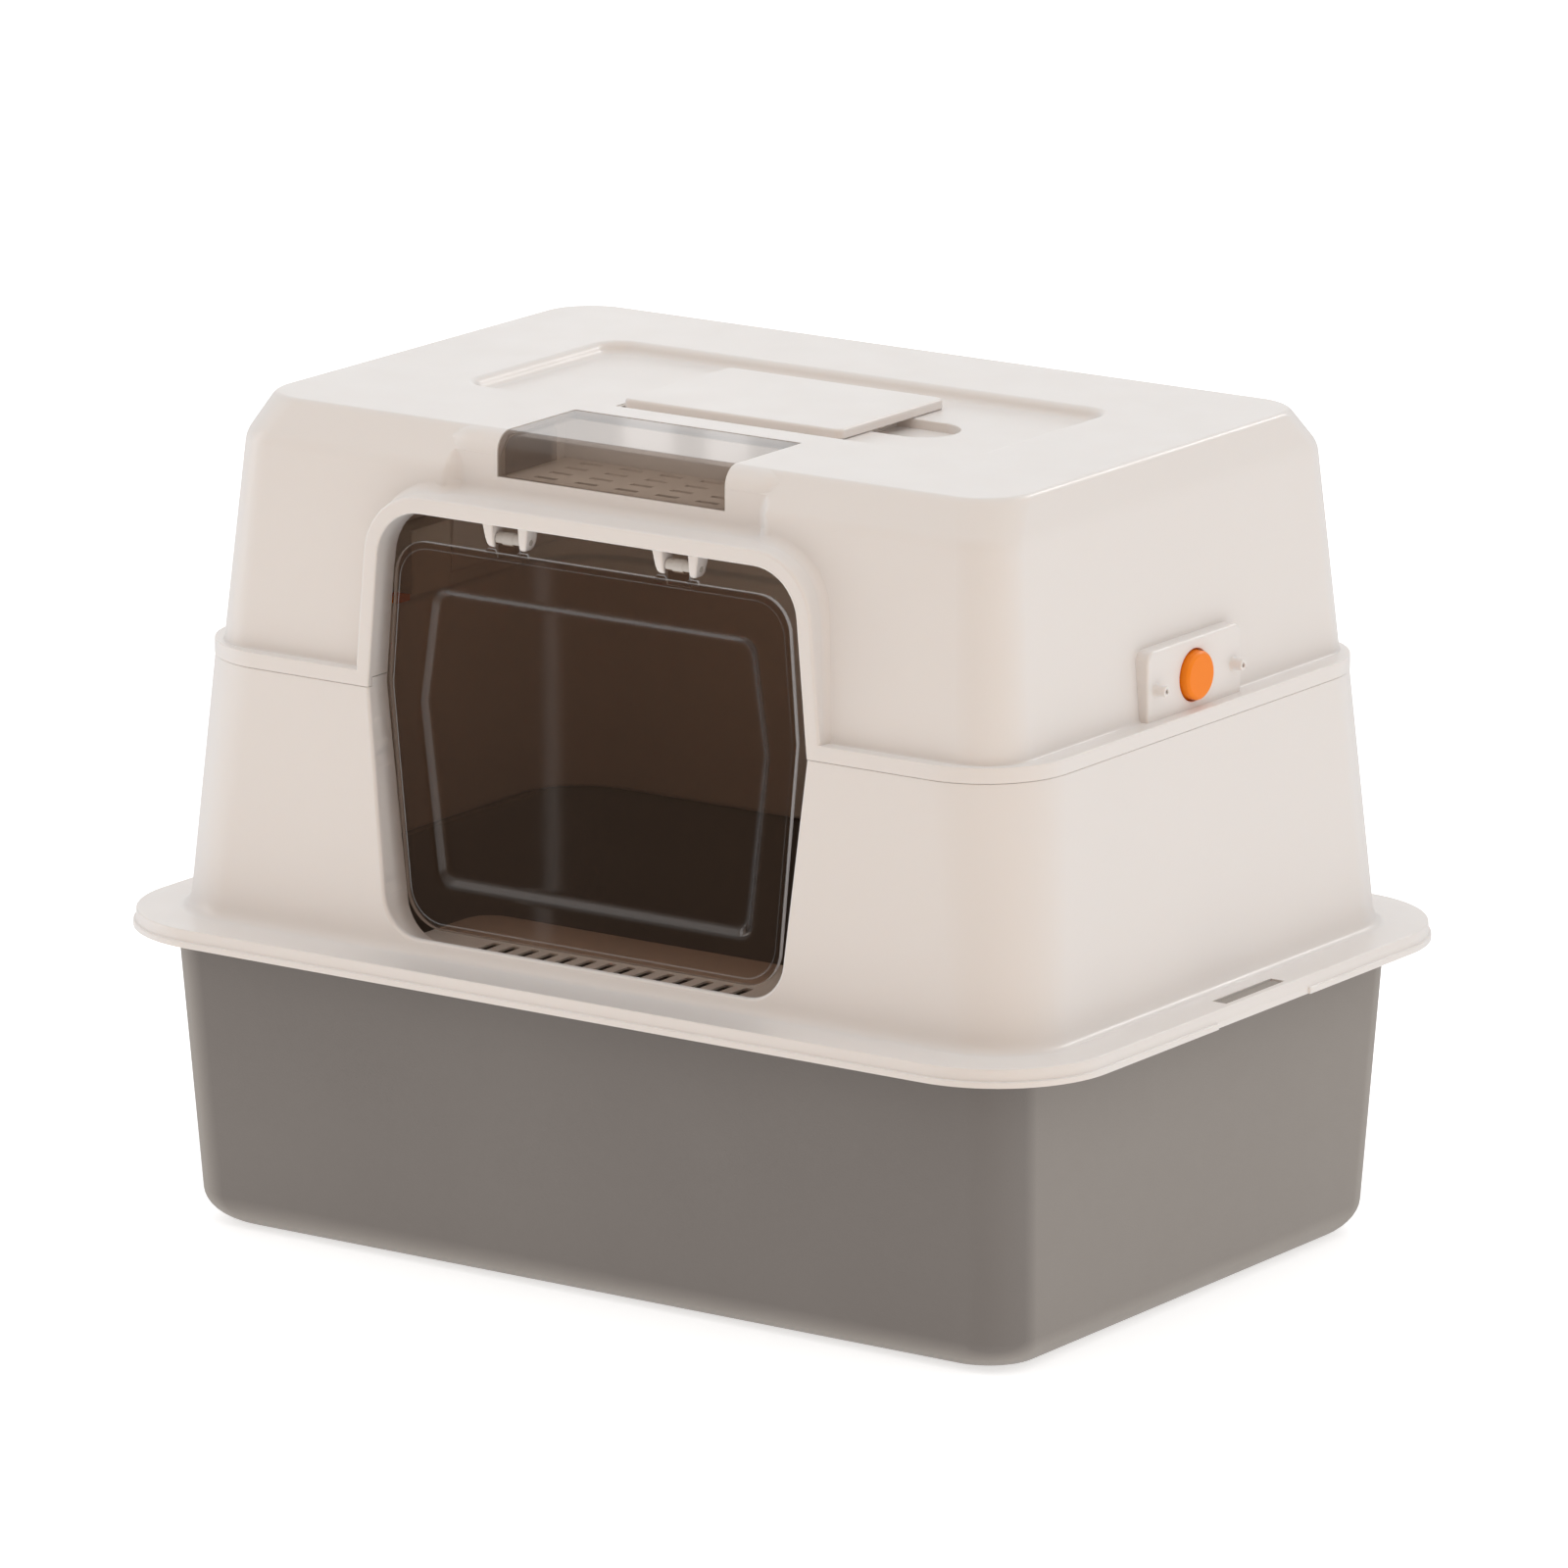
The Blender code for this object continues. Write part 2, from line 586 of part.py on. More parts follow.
def vent_cover():
    """Smoky window that wraps from the roof down the front, with a cheek at each end."""
    foot = VENT_SILL_Z + GAP
    back = VENT_BACK_Y - GAP
    half = VENT_HALF - GAP - 0.1
    outer = cover_profile(0.0, foot, back)
    inner = cover_profile(COVER_WALL, foot, back)
    cover = plate("vent_cover", outer + inner[::-1], "YZ", -half, half)
    cheek_outline = cover_profile(0.5, foot + GAP, -98.0)
    cheek_outline += [(-94.0, ROOF_Z - 6), (-94.0, foot + GAP)]
    for name, side in SIDES:
        low, high = sorted((side * (half - GAP), side * (half - GAP - COVER_WALL)))
        add(cover, plate("cheek_" + name, cheek_outline, "YZ", low, high, tool=True))
    return finish(cover, plastic("cover_smoke", SMOKE, 0.08, alpha=0.45))


def grid_slots(name, xs, ys, half_x, half_y, z0, z1):
    return boxes(name, [(x - half_x, x + half_x, y - half_y, y + half_y, z0, z1)
                        for x in xs for y in ys])


def vent_tray():
    """Slotted tray under the vent cover, screwed up to two bosses under the roof."""
    half = VENT_HALF + 0.2 + TRAY_WALL
    front = VENT_FACE_Y + WALL + 0.5
    back = VENT_BACK_Y - 5.7
    floor = VENT_SILL_Z - 2.4
    top = ROOF_Z - WALL - GAP
    side = [(front, floor), (back, floor), (back, top), (front + 6.9, top), (front, 389.0)]
    tray = plate("vent_tray", side, "YZ", -half, half)
    hollow = boxes("vent_hollow", [(-half + TRAY_WALL, half - TRAY_WALL, front - 5,
                                    back - TRAY_WALL, floor + TRAY_WALL, top + 5)])
    tabs = boxes("vent_tabs", [side_span(way, half - 1, half + 9, -105, -95, VENT_BOSS_Z - 2.3,
                                         VENT_BOSS_Z - GAP) for _, way in SIDES])
    slots = grid_slots("vent_slots", [22.8 * i for i in range(-2, 3)],
                       [-124.2, -112.3, -100.4, -88.5], 6.15, 1.8, floor - 2, floor + 4)
    holes = rods("vent_tab_holes", [(x, y, VENT_BOSS_Z - 5, VENT_BOSS_Z + 2, 1.4, 1.4)
                                    for x, y in VENT_BOSSES], "Z", segments=10)
    cut(tray, hollow)
    add(tray, tabs)
    cut(tray, slots, holes)
    return finish(tray, plastic("vent_tray_cream", CREAM, 0.5))


# ---- filter box -----------------------------------------------------------------------------
FILTER_FLOOR = 374.0
FILTER_TOP = 395.4


def filter_tray():
    """Slotted box in the roof's well, with pivot holes for the lid's stubs."""
    x0, x1, y0, y1 = WELL[0] + GAP, WELL[1] - GAP, WELL[2] + GAP, WELL[3] - GAP
    tray = boxes("filter_tray", [(x0, x1, y0, y1, FILTER_FLOOR, FILTER_TOP)], tool=False)
    hollow = boxes("filter_hollow", [(x0 + TRAY_WALL, x1 - TRAY_WALL, y0 + TRAY_WALL,
                                      y1 - TRAY_WALL, FILTER_FLOOR + TRAY_WALL, FILTER_TOP + 5)])
    spans = []
    for x, y in FILTER_BOSSES:
        reach = (y0 + 1, y - 4.5) if y < 0 else (y1 - 1, y + 4.5)
        spans.append((x - 5, x + 5, min(reach), max(reach), FILTER_BOSS_Z - 2.3,
                      FILTER_BOSS_Z - GAP))
    slots = grid_slots("filter_slots", [-48, -24, 0, 24],
                       [CENTRE_Y + 14 * i for i in range(-2, 3)], 8.0, 2.0,
                       FILTER_FLOOR - 2, FILTER_FLOOR + 4)
    holes = rods("filter_tab_holes", [(x, y, FILTER_BOSS_Z - 5, FILTER_BOSS_Z + 2, 1.4, 1.4)
                                      for x, y in FILTER_BOSSES], "Z", segments=10)
    pivots = rods("pivot_holes", [(LID_AXIS[0], LID_AXIS[1], y0 - 3, y1 + 3, 1.65, 1.65)],
                  "Y", segments=12)
    cut(tray, hollow)
    add(tray, boxes("filter_tabs", spans))
    cut(tray, slots, holes, pivots)
    return finish(tray, plastic("filter_tray_cream", CREAM, 0.5))


def filter_lid():
    """Flat lid flush with the roof, on two ears whose stubs turn in the filter box."""
    x0, x1, y0, y1 = LID
    outline = rounded_rect((x1 - x0) / 2, (y1 - y0) / 2, 4.0, centre=(0, (y0 + y1) / 2))
    lid = plate("filter_lid", outline, "XY", LID_BOTTOM_Z, LID_TOP_Z)
    wall_in = (WELL[2] + GAP + TRAY_WALL + GAP, WELL[3] - GAP - TRAY_WALL - GAP)
    ear_x = (LID_AXIS[0] - 3, LID_AXIS[0] + 3)
    ears = boxes("lid_ears", [
        (*ear_x, wall_in[0], wall_in[0] + 2, LID_AXIS[1] - 3, LID_BOTTOM_Z + 1),
        (*ear_x, wall_in[1] - 2, wall_in[1], LID_AXIS[1] - 3, LID_BOTTOM_Z + 1),
    ])
    stubs = rods("lid_stubs", [
        (*LID_AXIS, wall_in[0] - 2, wall_in[0] + 1, 1.5, 1.5),
        (*LID_AXIS, wall_in[1] - 1, wall_in[1] + 2, 1.5, 1.5),
    ], "Y", segments=12)
    add(lid, ears, stubs)
    return finish(lid, plastic("lid_cream", CREAM, 0.4), (LID_AXIS[0], CENTRE_Y, LID_AXIS[1]))


# ---- release buttons ------------------------------------------------------------------------
FLANGE_RADIUS = 13.9
FLANGE_FRONT = -3.0        # from the pad's outer face
FLANGE_BACK = -5.2
FINGER_TOP = BUTTON_Z - 8.4
HOUSING_BACK = 206.0


def release_button(name, side):
    """Orange button with an inner flange and a finger that reaches down to the seam."""
    profile = [
        (0, BUTTON_PROUD),
        (BUTTON_RADIUS - 1.5, BUTTON_PROUD),
        (BUTTON_RADIUS - 0.4, BUTTON_PROUD - 0.5),
        (BUTTON_RADIUS, BUTTON_PROUD - 1.6),
        (BUTTON_RADIUS, FLANGE_FRONT),
        (FLANGE_RADIUS, FLANGE_FRONT),
        (FLANGE_RADIUS, FLANGE_BACK),
        (0, FLANGE_BACK),
    ]
    turn = Matrix.Rotation(side * math.pi / 2, 4, "Y")
    place = Matrix.Translation(Vector((side * PAD_X, CENTRE_Y, BUTTON_Z)) * MM) @ turn
    material = plastic("orange_" + name, ORANGE, 0.35)
    button = turned("release_button_" + name, profile, place, material)
    back = PAD_X + FLANGE_BACK
    finger = boxes("finger_" + name, [side_span(side, back - 2.2, back + 0.2, CENTRE_Y - 5,
                                                CENTRE_Y + 5, 273.5, FINGER_TOP)])
    tooth = boxes("tooth_" + name, [side_span(side, back - 1, 229.9, CENTRE_Y - 5,
                                              CENTRE_Y + 5, 273.5, 277.0)])
    add(button, finger, tooth)
    return button


def button_spring(name, side):
    """Coil spring between the button's flange and the back of its housing."""
    low = HOUSING_BACK + 2.0 + 0.9
    high = PAD_X + FLANGE_BACK - 0.9
    turns = 5
    per_turn = 10
    curve = bpy.data.curves.new("button_spring_" + name, "CURVE")
    curve.dimensions = "3D"
    curve.bevel_depth = 0.55 * MM
    curve.bevel_resolution = 1
    curve.use_fill_caps = True
    spline = curve.splines.new("POLY")
    total = turns * per_turn
    spline.points.add(total)
    for index, point in enumerate(spline.points):
        angle = 2 * math.pi * index / per_turn
        x = side * (low + (high - low) * index / total) * MM
        y = (CENTRE_Y + 6.2 * math.cos(angle)) * MM
        z = (BUTTON_Z + 6.2 * math.sin(angle)) * MM
        point.co = (x, y, z, 1)
    spring = new_object("button_spring_" + name, curve, False)
    curve.materials.append(plastic("spring_" + name, STEEL, 0.3, metallic=1.0))
    return spring


def latch_housing(name, side):
    """Open box behind the button that backs its spring, held by two ears."""
    wall = 1.3
    half = FLANGE_RADIUS + 0.4
    front = PAD_X - WALL - GAP
    low_z, high_z = BUTTON_Z - half - wall, BUTTON_Z + half + wall
    block = side_span(side, HOUSING_BACK, front, CENTRE_Y - half - wall, CENTRE_Y + half + wall,
                      low_z, high_z)
    housing = boxes("latch_housing_" + name, [block], tool=False)
    ears = boxes("ears_" + name, [side_span(side, front - 2.0, front, CENTRE_Y - 36.2,
                                            CENTRE_Y + 36.2, BUTTON_Z - 6, BUTTON_Z + 6)])
    inside = boxes("cup_" + name, [side_span(side, HOUSING_BACK + 2.0, front + 5,
                                             CENTRE_Y - half, CENTRE_Y + half,
                                             BUTTON_Z - half, BUTTON_Z + half)])
    slot = boxes("finger_slot_" + name, [side_span(side, 217.0, front + 5, CENTRE_Y - 6,
                                                   CENTRE_Y + 6, low_z - 2, low_z + 4)])
    holes = rods("ear_holes_" + name, [side_rod(side, CENTRE_Y + way * PEG_SPACING, BUTTON_Z,
                                                front - 5, front + 3, 1.3, 1.3)
                                       for way in (-1, 1)], "X", segments=8)
    add(housing, ears)
    cut(housing, inside, slot, holes)
    return finish(housing, plastic("housing_" + name, CREAM, 0.5))


def screw(name, place, axis, way, head_at, length):
    """Small self-tapping screw: a plain head and shank along the axis."""
    head = sorted((head_at, head_at - way * 1.6))
    shank = sorted((head_at - way * 0.2, head_at + way * length))
    body = rods(name, [(*place, *head, 2.6, 2.6)], axis, segments=12, tool=False)
    add(body, rods(name + "_shank", [(*place, *shank, 0.95, 0.95)], axis, segments=8))
    return finish(body, plastic(name + "_steel", STEEL, 0.3, metallic=1.0))


def fasteners():
    for name, side in SIDES:
        head_at = side * (PAD_X - WALL - GAP - 2.0 - GAP)
        for end, way in (("front", -1), ("back", 1)):
            place = (CENTRE_Y + way * PEG_SPACING, BUTTON_Z)
            screw(f"housing_screw_{name}_{end}", place, "X", side, head_at, 6.0)
    for (name, _), place in zip(SIDES, VENT_BOSSES):
        screw("vent_tray_screw_" + name, place, "Z", 1, VENT_BOSS_Z - 2.3 - GAP, 6.5)
    for index, place in enumerate(FILTER_BOSSES, 1):
        screw(f"filter_tray_screw_{index}", place, "Z", 1, FILTER_BOSS_Z - 2.3 - GAP, 7.0)


def build():
    litter_pan()
    lower_hood()
    upper_hood()
    entry_door()
    hinge_pins()
    vent_cover()
    vent_tray()
    filter_tray()
    filter_lid()
    for name, side in SIDES:
        release_button(name, side)
        button_spring(name, side)
        latch_housing(name, side)
    fasteners()


build()
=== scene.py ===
import math

import bmesh
import bpy
from mathutils import Matrix, Vector


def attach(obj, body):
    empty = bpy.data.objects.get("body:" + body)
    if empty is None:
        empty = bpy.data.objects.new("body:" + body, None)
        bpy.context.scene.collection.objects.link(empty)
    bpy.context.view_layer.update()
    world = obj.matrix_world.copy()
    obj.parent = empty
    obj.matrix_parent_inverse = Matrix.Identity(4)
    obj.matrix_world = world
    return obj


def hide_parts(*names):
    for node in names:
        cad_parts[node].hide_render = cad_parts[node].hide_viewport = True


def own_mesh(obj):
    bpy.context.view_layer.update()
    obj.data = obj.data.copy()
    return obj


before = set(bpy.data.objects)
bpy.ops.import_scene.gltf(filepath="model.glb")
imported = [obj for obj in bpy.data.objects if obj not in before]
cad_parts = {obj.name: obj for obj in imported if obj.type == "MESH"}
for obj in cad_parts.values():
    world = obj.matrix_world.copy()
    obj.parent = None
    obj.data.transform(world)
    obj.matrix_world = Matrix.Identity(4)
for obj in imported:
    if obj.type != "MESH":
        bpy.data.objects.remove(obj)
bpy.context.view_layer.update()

MM = 0.001
WELD = 0.002               # points of a new mesh that lie closer than this are joined, in mm
QUARTER = 18               # facets along each rounded corner of the shells
STRAIGHT = 24              # facets along each straight side of the shells
CREASE = 32                # bend in degrees from which an edge is shaded sharp
SIDES = (("right", 1), ("left", -1))
RIGHT, UP = (1, 0, 0), (0, 0, 1)

# ---- dimensions shared with the CAD, in millimetres ------
WALL = 2.6
CENTRE_Y = 2.5
FLANGE_Z, SKIRT_Z, SEAM_Z, LIP_Z, LEDGE_Z = 153.4, 144.9, 276.1, 280.4, 283.6
SHOULDER_Z, ROOF_Z, RECESS_Z = 383.0, 401.2, 395.7
LOWER_FOOT_Y, LOWER_LEAN = -162.65, 4.65
UPPER_FOOT_Y, UPPER_FOOT_Z, SHOULDER_Y = -150.0, 285.0, -142.5
CHAMFER_RUN, CHAMFER_RISE = 11.3, 16.5
PAN_RIM_Z, PAN_RIM_DEPTH, PAN_WALL, PAN_FILLET, PAN_CORNER = 150.4, 3.2, 2.8, 16.0, 23.4
PORCH_Y, RETURN_Y, BAND = -158.3, -143.6, 8.0
DOOR_TOP_X, DOOR_TOP_Z, DOOR_TOP_RADIUS = 116.5, 362.5, 24.0
DOOR_WIDE_X, DOOR_WIDE_Z = 124.0, 276.4
DOOR_FOOT_X, SILL_Z = 111.2, 160.4
SHELF_Z, SHELF_BACK_Y = 154.4, -85.0
SLOT_COUNT, SLOT_PITCH = 14, 11.08
AXIS_Y, AXIS_Z, HINGE_X = -149.0, 354.8, 48.0
VENT_HALF, VENT_FACE_Y, VENT_BACK_Y, VENT_SILL_Z, VENT_BEND = 64.3, -137.0, -75.2, 380.3, 9.5
LID = (-62.0, 62.0, -41.0, 46.0)
LID_AXIS = (-56.0, 393.2)
WELL = (-68.4, 50.0, -43.4, 48.4)
PAD_X, BUTTON_Z, PEG_Z, PEG_SPACING = 230.0, 299.0, 298.0, 32.3
VENT_BOSSES = [(side * 71.0, -100.0) for _, side in SIDES]
FILTER_BOSSES = [(x, y) for x in (-30.0, 30.0) for y in (WELL[2] - 4.9, WELL[3] + 4.9)]


# ---- meshes ----------------------------------------------
def to_object(name, bm):
    """Makes an object in metres of a mesh drawn in millimetres."""
    bmesh.ops.remove_doubles(bm, verts=bm.verts, dist=WELD)
    bmesh.ops.recalc_face_normals(bm, faces=bm.faces)
    bmesh.ops.scale(bm, vec=(MM, MM, MM), verts=bm.verts)
    mesh = bpy.data.meshes.new(name)
    bm.to_mesh(mesh)
    bm.free()
    obj = bpy.data.objects.new(name, mesh)
    bpy.context.scene.collection.objects.link(obj)
    return obj


def loft(name, rings):
    """Solid through rings of (x, y, z) points, closed by the first and the last ring."""
    bm = bmesh.new()
    loops = [[bm.verts.new(point) for point in ring] for ring in rings]
    count = len(loops[0])
    for lower, upper in zip(loops, loops[1:]):
        for i in range(count):
            j = (i + 1) % count
            bm.faces.new((lower[i], lower[j], upper[j], upper[i]))
    bm.faces.new(reversed(loops[0]))
    bm.faces.new(loops[-1])
    return to_object(name, bm)


def rounded(points, steps):
    """Rounds a polyline of (values..., reach): each vertex is softened over its reach in mm."""
    out = []
    for i, point in enumerate(points):
        here, reach = Vector(point[:-1]), point[-1]
        if reach == 0 or i in (0, len(points) - 1):
            out.append(tuple(here))
            continue
        before, after = Vector(points[i - 1][:-1]), Vector(points[i + 1][:-1])
        start = here.lerp(before, min(0.5, reach / (before - here).length))
        end = here.lerp(after, min(0.5, reach / (after - here).length))
        for step in range(steps + 1):
            t = step / steps
            out.append(tuple(start.lerp(here, t).lerp(here.lerp(end, t), t)))
    return out


def quarter_turn(steps):
    """Angles from 0 to 90 degrees."""
    return [math.pi / 2 * step / steps for step in range(steps + 1)]


def rectangle(half_x, half_y, radius, centre, steps=QUARTER, along=0):
    """Rounded rectangle, anticlockwise, as (x, y) points; along splits each straight side."""
    points = []
    for quarter in range(4):
        side_x = 1 if quarter in (0, 3) else -1
        side_y = 1 if quarter in (0, 1) else -1
        for step in range(steps + 1):
            angle = math.pi / 2 * (quarter + step / steps)
            points.append((centre[0] + side_x * (half_x - radius) + radius * math.cos(angle),
                           centre[1] + side_y * (half_y - radius) + radius * math.sin(angle)))
    if along:
        corner = steps + 1
        split = []
        for quarter in range(4):
            split += points[quarter * corner:(quarter + 1) * corner]
            here, after = Vector(split[-1]), Vector(points[(quarter + 1) * corner % len(points)])
            split += [tuple(here.lerp(after, step / along)) for step in range(1, along)]
        points = split
    return points


def polygon(corners, steps=10):
    """Outline through (x, y, radius) corners."""
    points = []
    for index, (x, y, radius) in enumerate(corners):
        here = Vector((x, y))
        before = (Vector(corners[index - 1][:2]) - here).normalized()
        after = (Vector(corners[(index + 1) % len(corners)][:2]) - here).normalized()
        if radius == 0:
            points.append((x, y))
            continue
        half = before.angle(after) / 2
        middle = here + (before + after).normalized() * radius / math.sin(half)
        start = here + before * radius / math.tan(half) - middle
        end = here + after * radius / math.tan(half) - middle
        sweep = start.angle_signed(end)
        for step in range(steps + 1):
            turned = Matrix.Rotation(-sweep * step / steps, 2) @ start
            points.append(tuple(middle + turned))
    return points


def shell(name, sections, centre=(0.0, 0.0), steps=6):
    """Loft through rounded rectangles (half_x, half_y, radius, z, reach)."""
    rings = []
    for half_x, half_y, radius, z in rounded(sections, steps):
        outline = rectangle(half_x, half_y, radius, centre, along=STRAIGHT)
        rings.append([(x, y, z) for x, y in outline])
    return loft(name, rings)


def prism(name, outline, plane, low, high, edge=0.0):
    """Straight prism of an outline along the plane's normal, its rims eased by edge mm."""
    place = {"XY": lambda a, b, h: (a, b, h), "XZ": lambda a, b, h: (a, h, b),
             "YZ": lambda a, b, h: (h, a, b)}[plane]
    levels = [(0.0, low), (0.0, high)]
    if edge:
        levels = [(edge * (1 - math.sin(angle)), low + edge * (1 - math.cos(angle)))
                  for angle in quarter_turn(3)]
        levels += [(inset, low + high - level) for inset, level in reversed(levels)]
    rings = []
    for inset, level in levels:
        rings.append([place(a, b, level) for a, b in shrink(outline, inset)])
    return loft(name, rings)


def shrink(outline, inset):
    """Moves a closed outline inwards by inset, or outwards where inset is negative."""
    if inset == 0:
        return outline
    count = len(outline)
    area = sum(outline[i - 1][0] * outline[i][1] - outline[i][0] * outline[i - 1][1]
               for i in range(count))
    turn = 1 if area > 0 else -1
    out = []
    for i, point in enumerate(outline):
        here = Vector(point)
        first = (here - Vector(outline[i - 1])).normalized()
        second = (Vector(outline[(i + 1) % count]) - here).normalized()
        normal = Vector((-first.y - second.y, first.x + second.x)) * turn
        scale = 2 / max(normal.length_squared, 0.5)
        out.append(tuple(here + normal * inset * scale))
    return out


def block(name, spans):
    """Separate boxes (x0, x1, y0, y1, z0, z1) in one mesh."""
    bm = bmesh.new()
    for x0, x1, y0, y1, z0, z1 in spans:
        size = Vector((x1 - x0, y1 - y0, z1 - z0))
        centre = Vector((x0 + x1, y0 + y1, z0 + z1)) / 2
        bmesh.ops.create_cube(bm, size=1.0, matrix=Matrix.Translation(centre)
                              @ Matrix.Diagonal((*size, 1.0)))
    return to_object(name, bm)


def lathe(name, profile, base, axis, steps):
    """Turns (radius, height) points about axis from base; a profile that starts and ends at
    radius 0 is solid, any other closes on itself as a ring."""
    axis = Vector(axis).normalized()
    across = axis.orthogonal().normalized()
    up = axis.cross(across)
    base = Vector(base)
    bm = bmesh.new()
    solid = profile[0][0] == 0
    loops = []
    for radius, height in profile:
        centre = base + axis * height
        if radius == 0:
            loops.append([bm.verts.new(centre)] * steps)
            continue
        ring = []
        for i in range(steps):
            angle = 2 * math.pi * i / steps
            ring.append(bm.verts.new(centre + (across * math.cos(angle)
                                               + up * math.sin(angle)) * radius))
        loops.append(ring)
    pairs = list(zip(loops, loops[1:]))
    if not solid:
        pairs.append((loops[-1], loops[0]))
    for first, second in pairs:
        for i in range(steps):
            j = (i + 1) % steps
            corners = []
            for vert in (first[i], first[j], second[j], second[i]):
                if vert not in corners:
                    corners.append(vert)
            bm.faces.new(corners)
    return to_object(name, bm)


def span(side, x0, x1, y0, y1, z0, z1):
    """Box for block() on the right side, or its mirror image on the left."""
    return (x0, x1, y0, y1, z0, z1) if side > 0 else (-x1, -x0, y0, y1, z0, z1)


def applied(obj):
    """Replaces an object's mesh by its evaluated one and drops its modifiers."""
    depsgraph = bpy.context.evaluated_depsgraph_get()
    mesh = bpy.data.meshes.new_from_object(obj.evaluated_get(depsgraph))
    obj.modifiers.clear()
    old = obj.data
    obj.data = mesh
    bpy.data.meshes.remove(old)
    return obj


def combine(target, operation, tools):
    """Applies one Boolean for each tool, in order, and removes the tools."""
    for tool in tools:
        modifier = target.modifiers.new(operation, "BOOLEAN")
        modifier.operation = operation
        modifier.object = tool
        modifier.solver = "EXACT"
    applied(target)
    for tool in tools:
        mesh = tool.data
        bpy.data.objects.remove(tool)
        bpy.data.meshes.remove(mesh)


def cut(target, *tools):
    combine(target, "DIFFERENCE", tools)


def add(target, *tools):
    combine(target, "UNION", tools)


def clean(obj, edge=0.0, angle=CREASE):
    """Eases the remaining sharp edges, then shades the piece smooth with area-weighted normals."""
    if edge:
        bevel = obj.modifiers.new("ease", "BEVEL")
        bevel.width = edge * MM
        bevel.segments = 2
        bevel.limit_method = "ANGLE"
        bevel.angle_limit = math.radians(angle)
        bevel.use_clamp_overlap = True
        bevel.miter_outer = "MITER_ARC"
        applied(obj)
    obj.data.shade_smooth()
    obj.data.set_sharp_from_angle(angle=math.radians(angle))
    weighted = obj.modifiers.new("normals", "WEIGHTED_NORMAL")
    weighted.keep_sharp = True
    weighted.weight = 100
    return applied(obj)


# ---- materials -------------------------------------------
def new_material(name):
    material = bpy.data.materials.new(name)
    material.use_nodes = True
    return material, material.node_tree


def fill(graph, socket, value):
    """Gives a socket a number, a colour or another node's output."""
    if isinstance(value, bpy.types.NodeSocket):
        graph.links.new(value, socket)
    elif isinstance(value, tuple):
        socket.default_value = (*value, 1)
    else:
        socket.default_value = value


def noise(graph, place, scale, detail, rough=0.55):
    node = graph.nodes.new("ShaderNodeTexNoise")
    node.inputs["Scale"].default_value = scale
    node.inputs["Detail"].default_value = detail
    node.inputs["Roughness"].default_value = rough
    graph.links.new(place, node.inputs["Vector"])
    return node.outputs["Fac"]


def ramp(graph, source, low, high, start=0.3, end=0.7):
    """Maps the stretch from start to end of a source to the numbers from low to high."""
    node = graph.nodes.new("ShaderNodeMapRange")
    node.inputs["From Min"].default_value = start
    node.inputs["From Max"].default_value = end
    node.inputs["To Min"].default_value = low
    node.inputs["To Max"].default_value = high
    graph.links.new(source, node.inputs["Value"])
    return node.outputs["Result"]


def mixed(graph, factor, first, second):
    """Colour between two colours."""
    node = graph.nodes.new("ShaderNodeMix")
    node.data_type = "RGBA"
    fill(graph, node.inputs["A"], first)
    fill(graph, node.inputs["B"], second)
    fill(graph, node.inputs["Factor"], factor)
    return node.outputs["Result"]


def layered(graph, factor, below, above):
    """Shader that shows factor of the one above and the rest of the one below."""
    node = graph.nodes.new("ShaderNodeMixShader")
    fill(graph, node.inputs["Fac"], factor)
    graph.links.new(below, node.inputs[1])
    graph.links.new(above, node.inputs[2])
    return node.outputs["Shader"]


def maths(graph, operation, *values):
    node = graph.nodes.new("ShaderNodeMath")
    node.operation = operation
    for socket, value in zip(node.inputs, values):
        fill(graph, socket, value)
    return node.outputs["Value"]


def facing(graph):
    """0 where the surface faces the eye, rising to 1 where it turns away."""
    node = graph.nodes.new("ShaderNodeLayerWeight")
    node.inputs["Blend"].default_value = 0.5
    return node.outputs["Facing"]


def bumped(graph, height, strength, distance, below=None):
    """Normal of a bump, on top of the bump below if there is one."""
    node = graph.nodes.new("ShaderNodeBump")
    node.inputs["Strength"].default_value = strength
    node.inputs["Distance"].default_value = distance
    graph.links.new(height, node.inputs["Height"])
    if below:
        graph.links.new(below, node.inputs["Normal"])
    return node.outputs["Normal"]


def matt(graph, colour):
    node = graph.nodes.new("ShaderNodeBsdfDiffuse")
    node.inputs["Color"].default_value = (*colour, 1)
    return node.outputs["BSDF"]


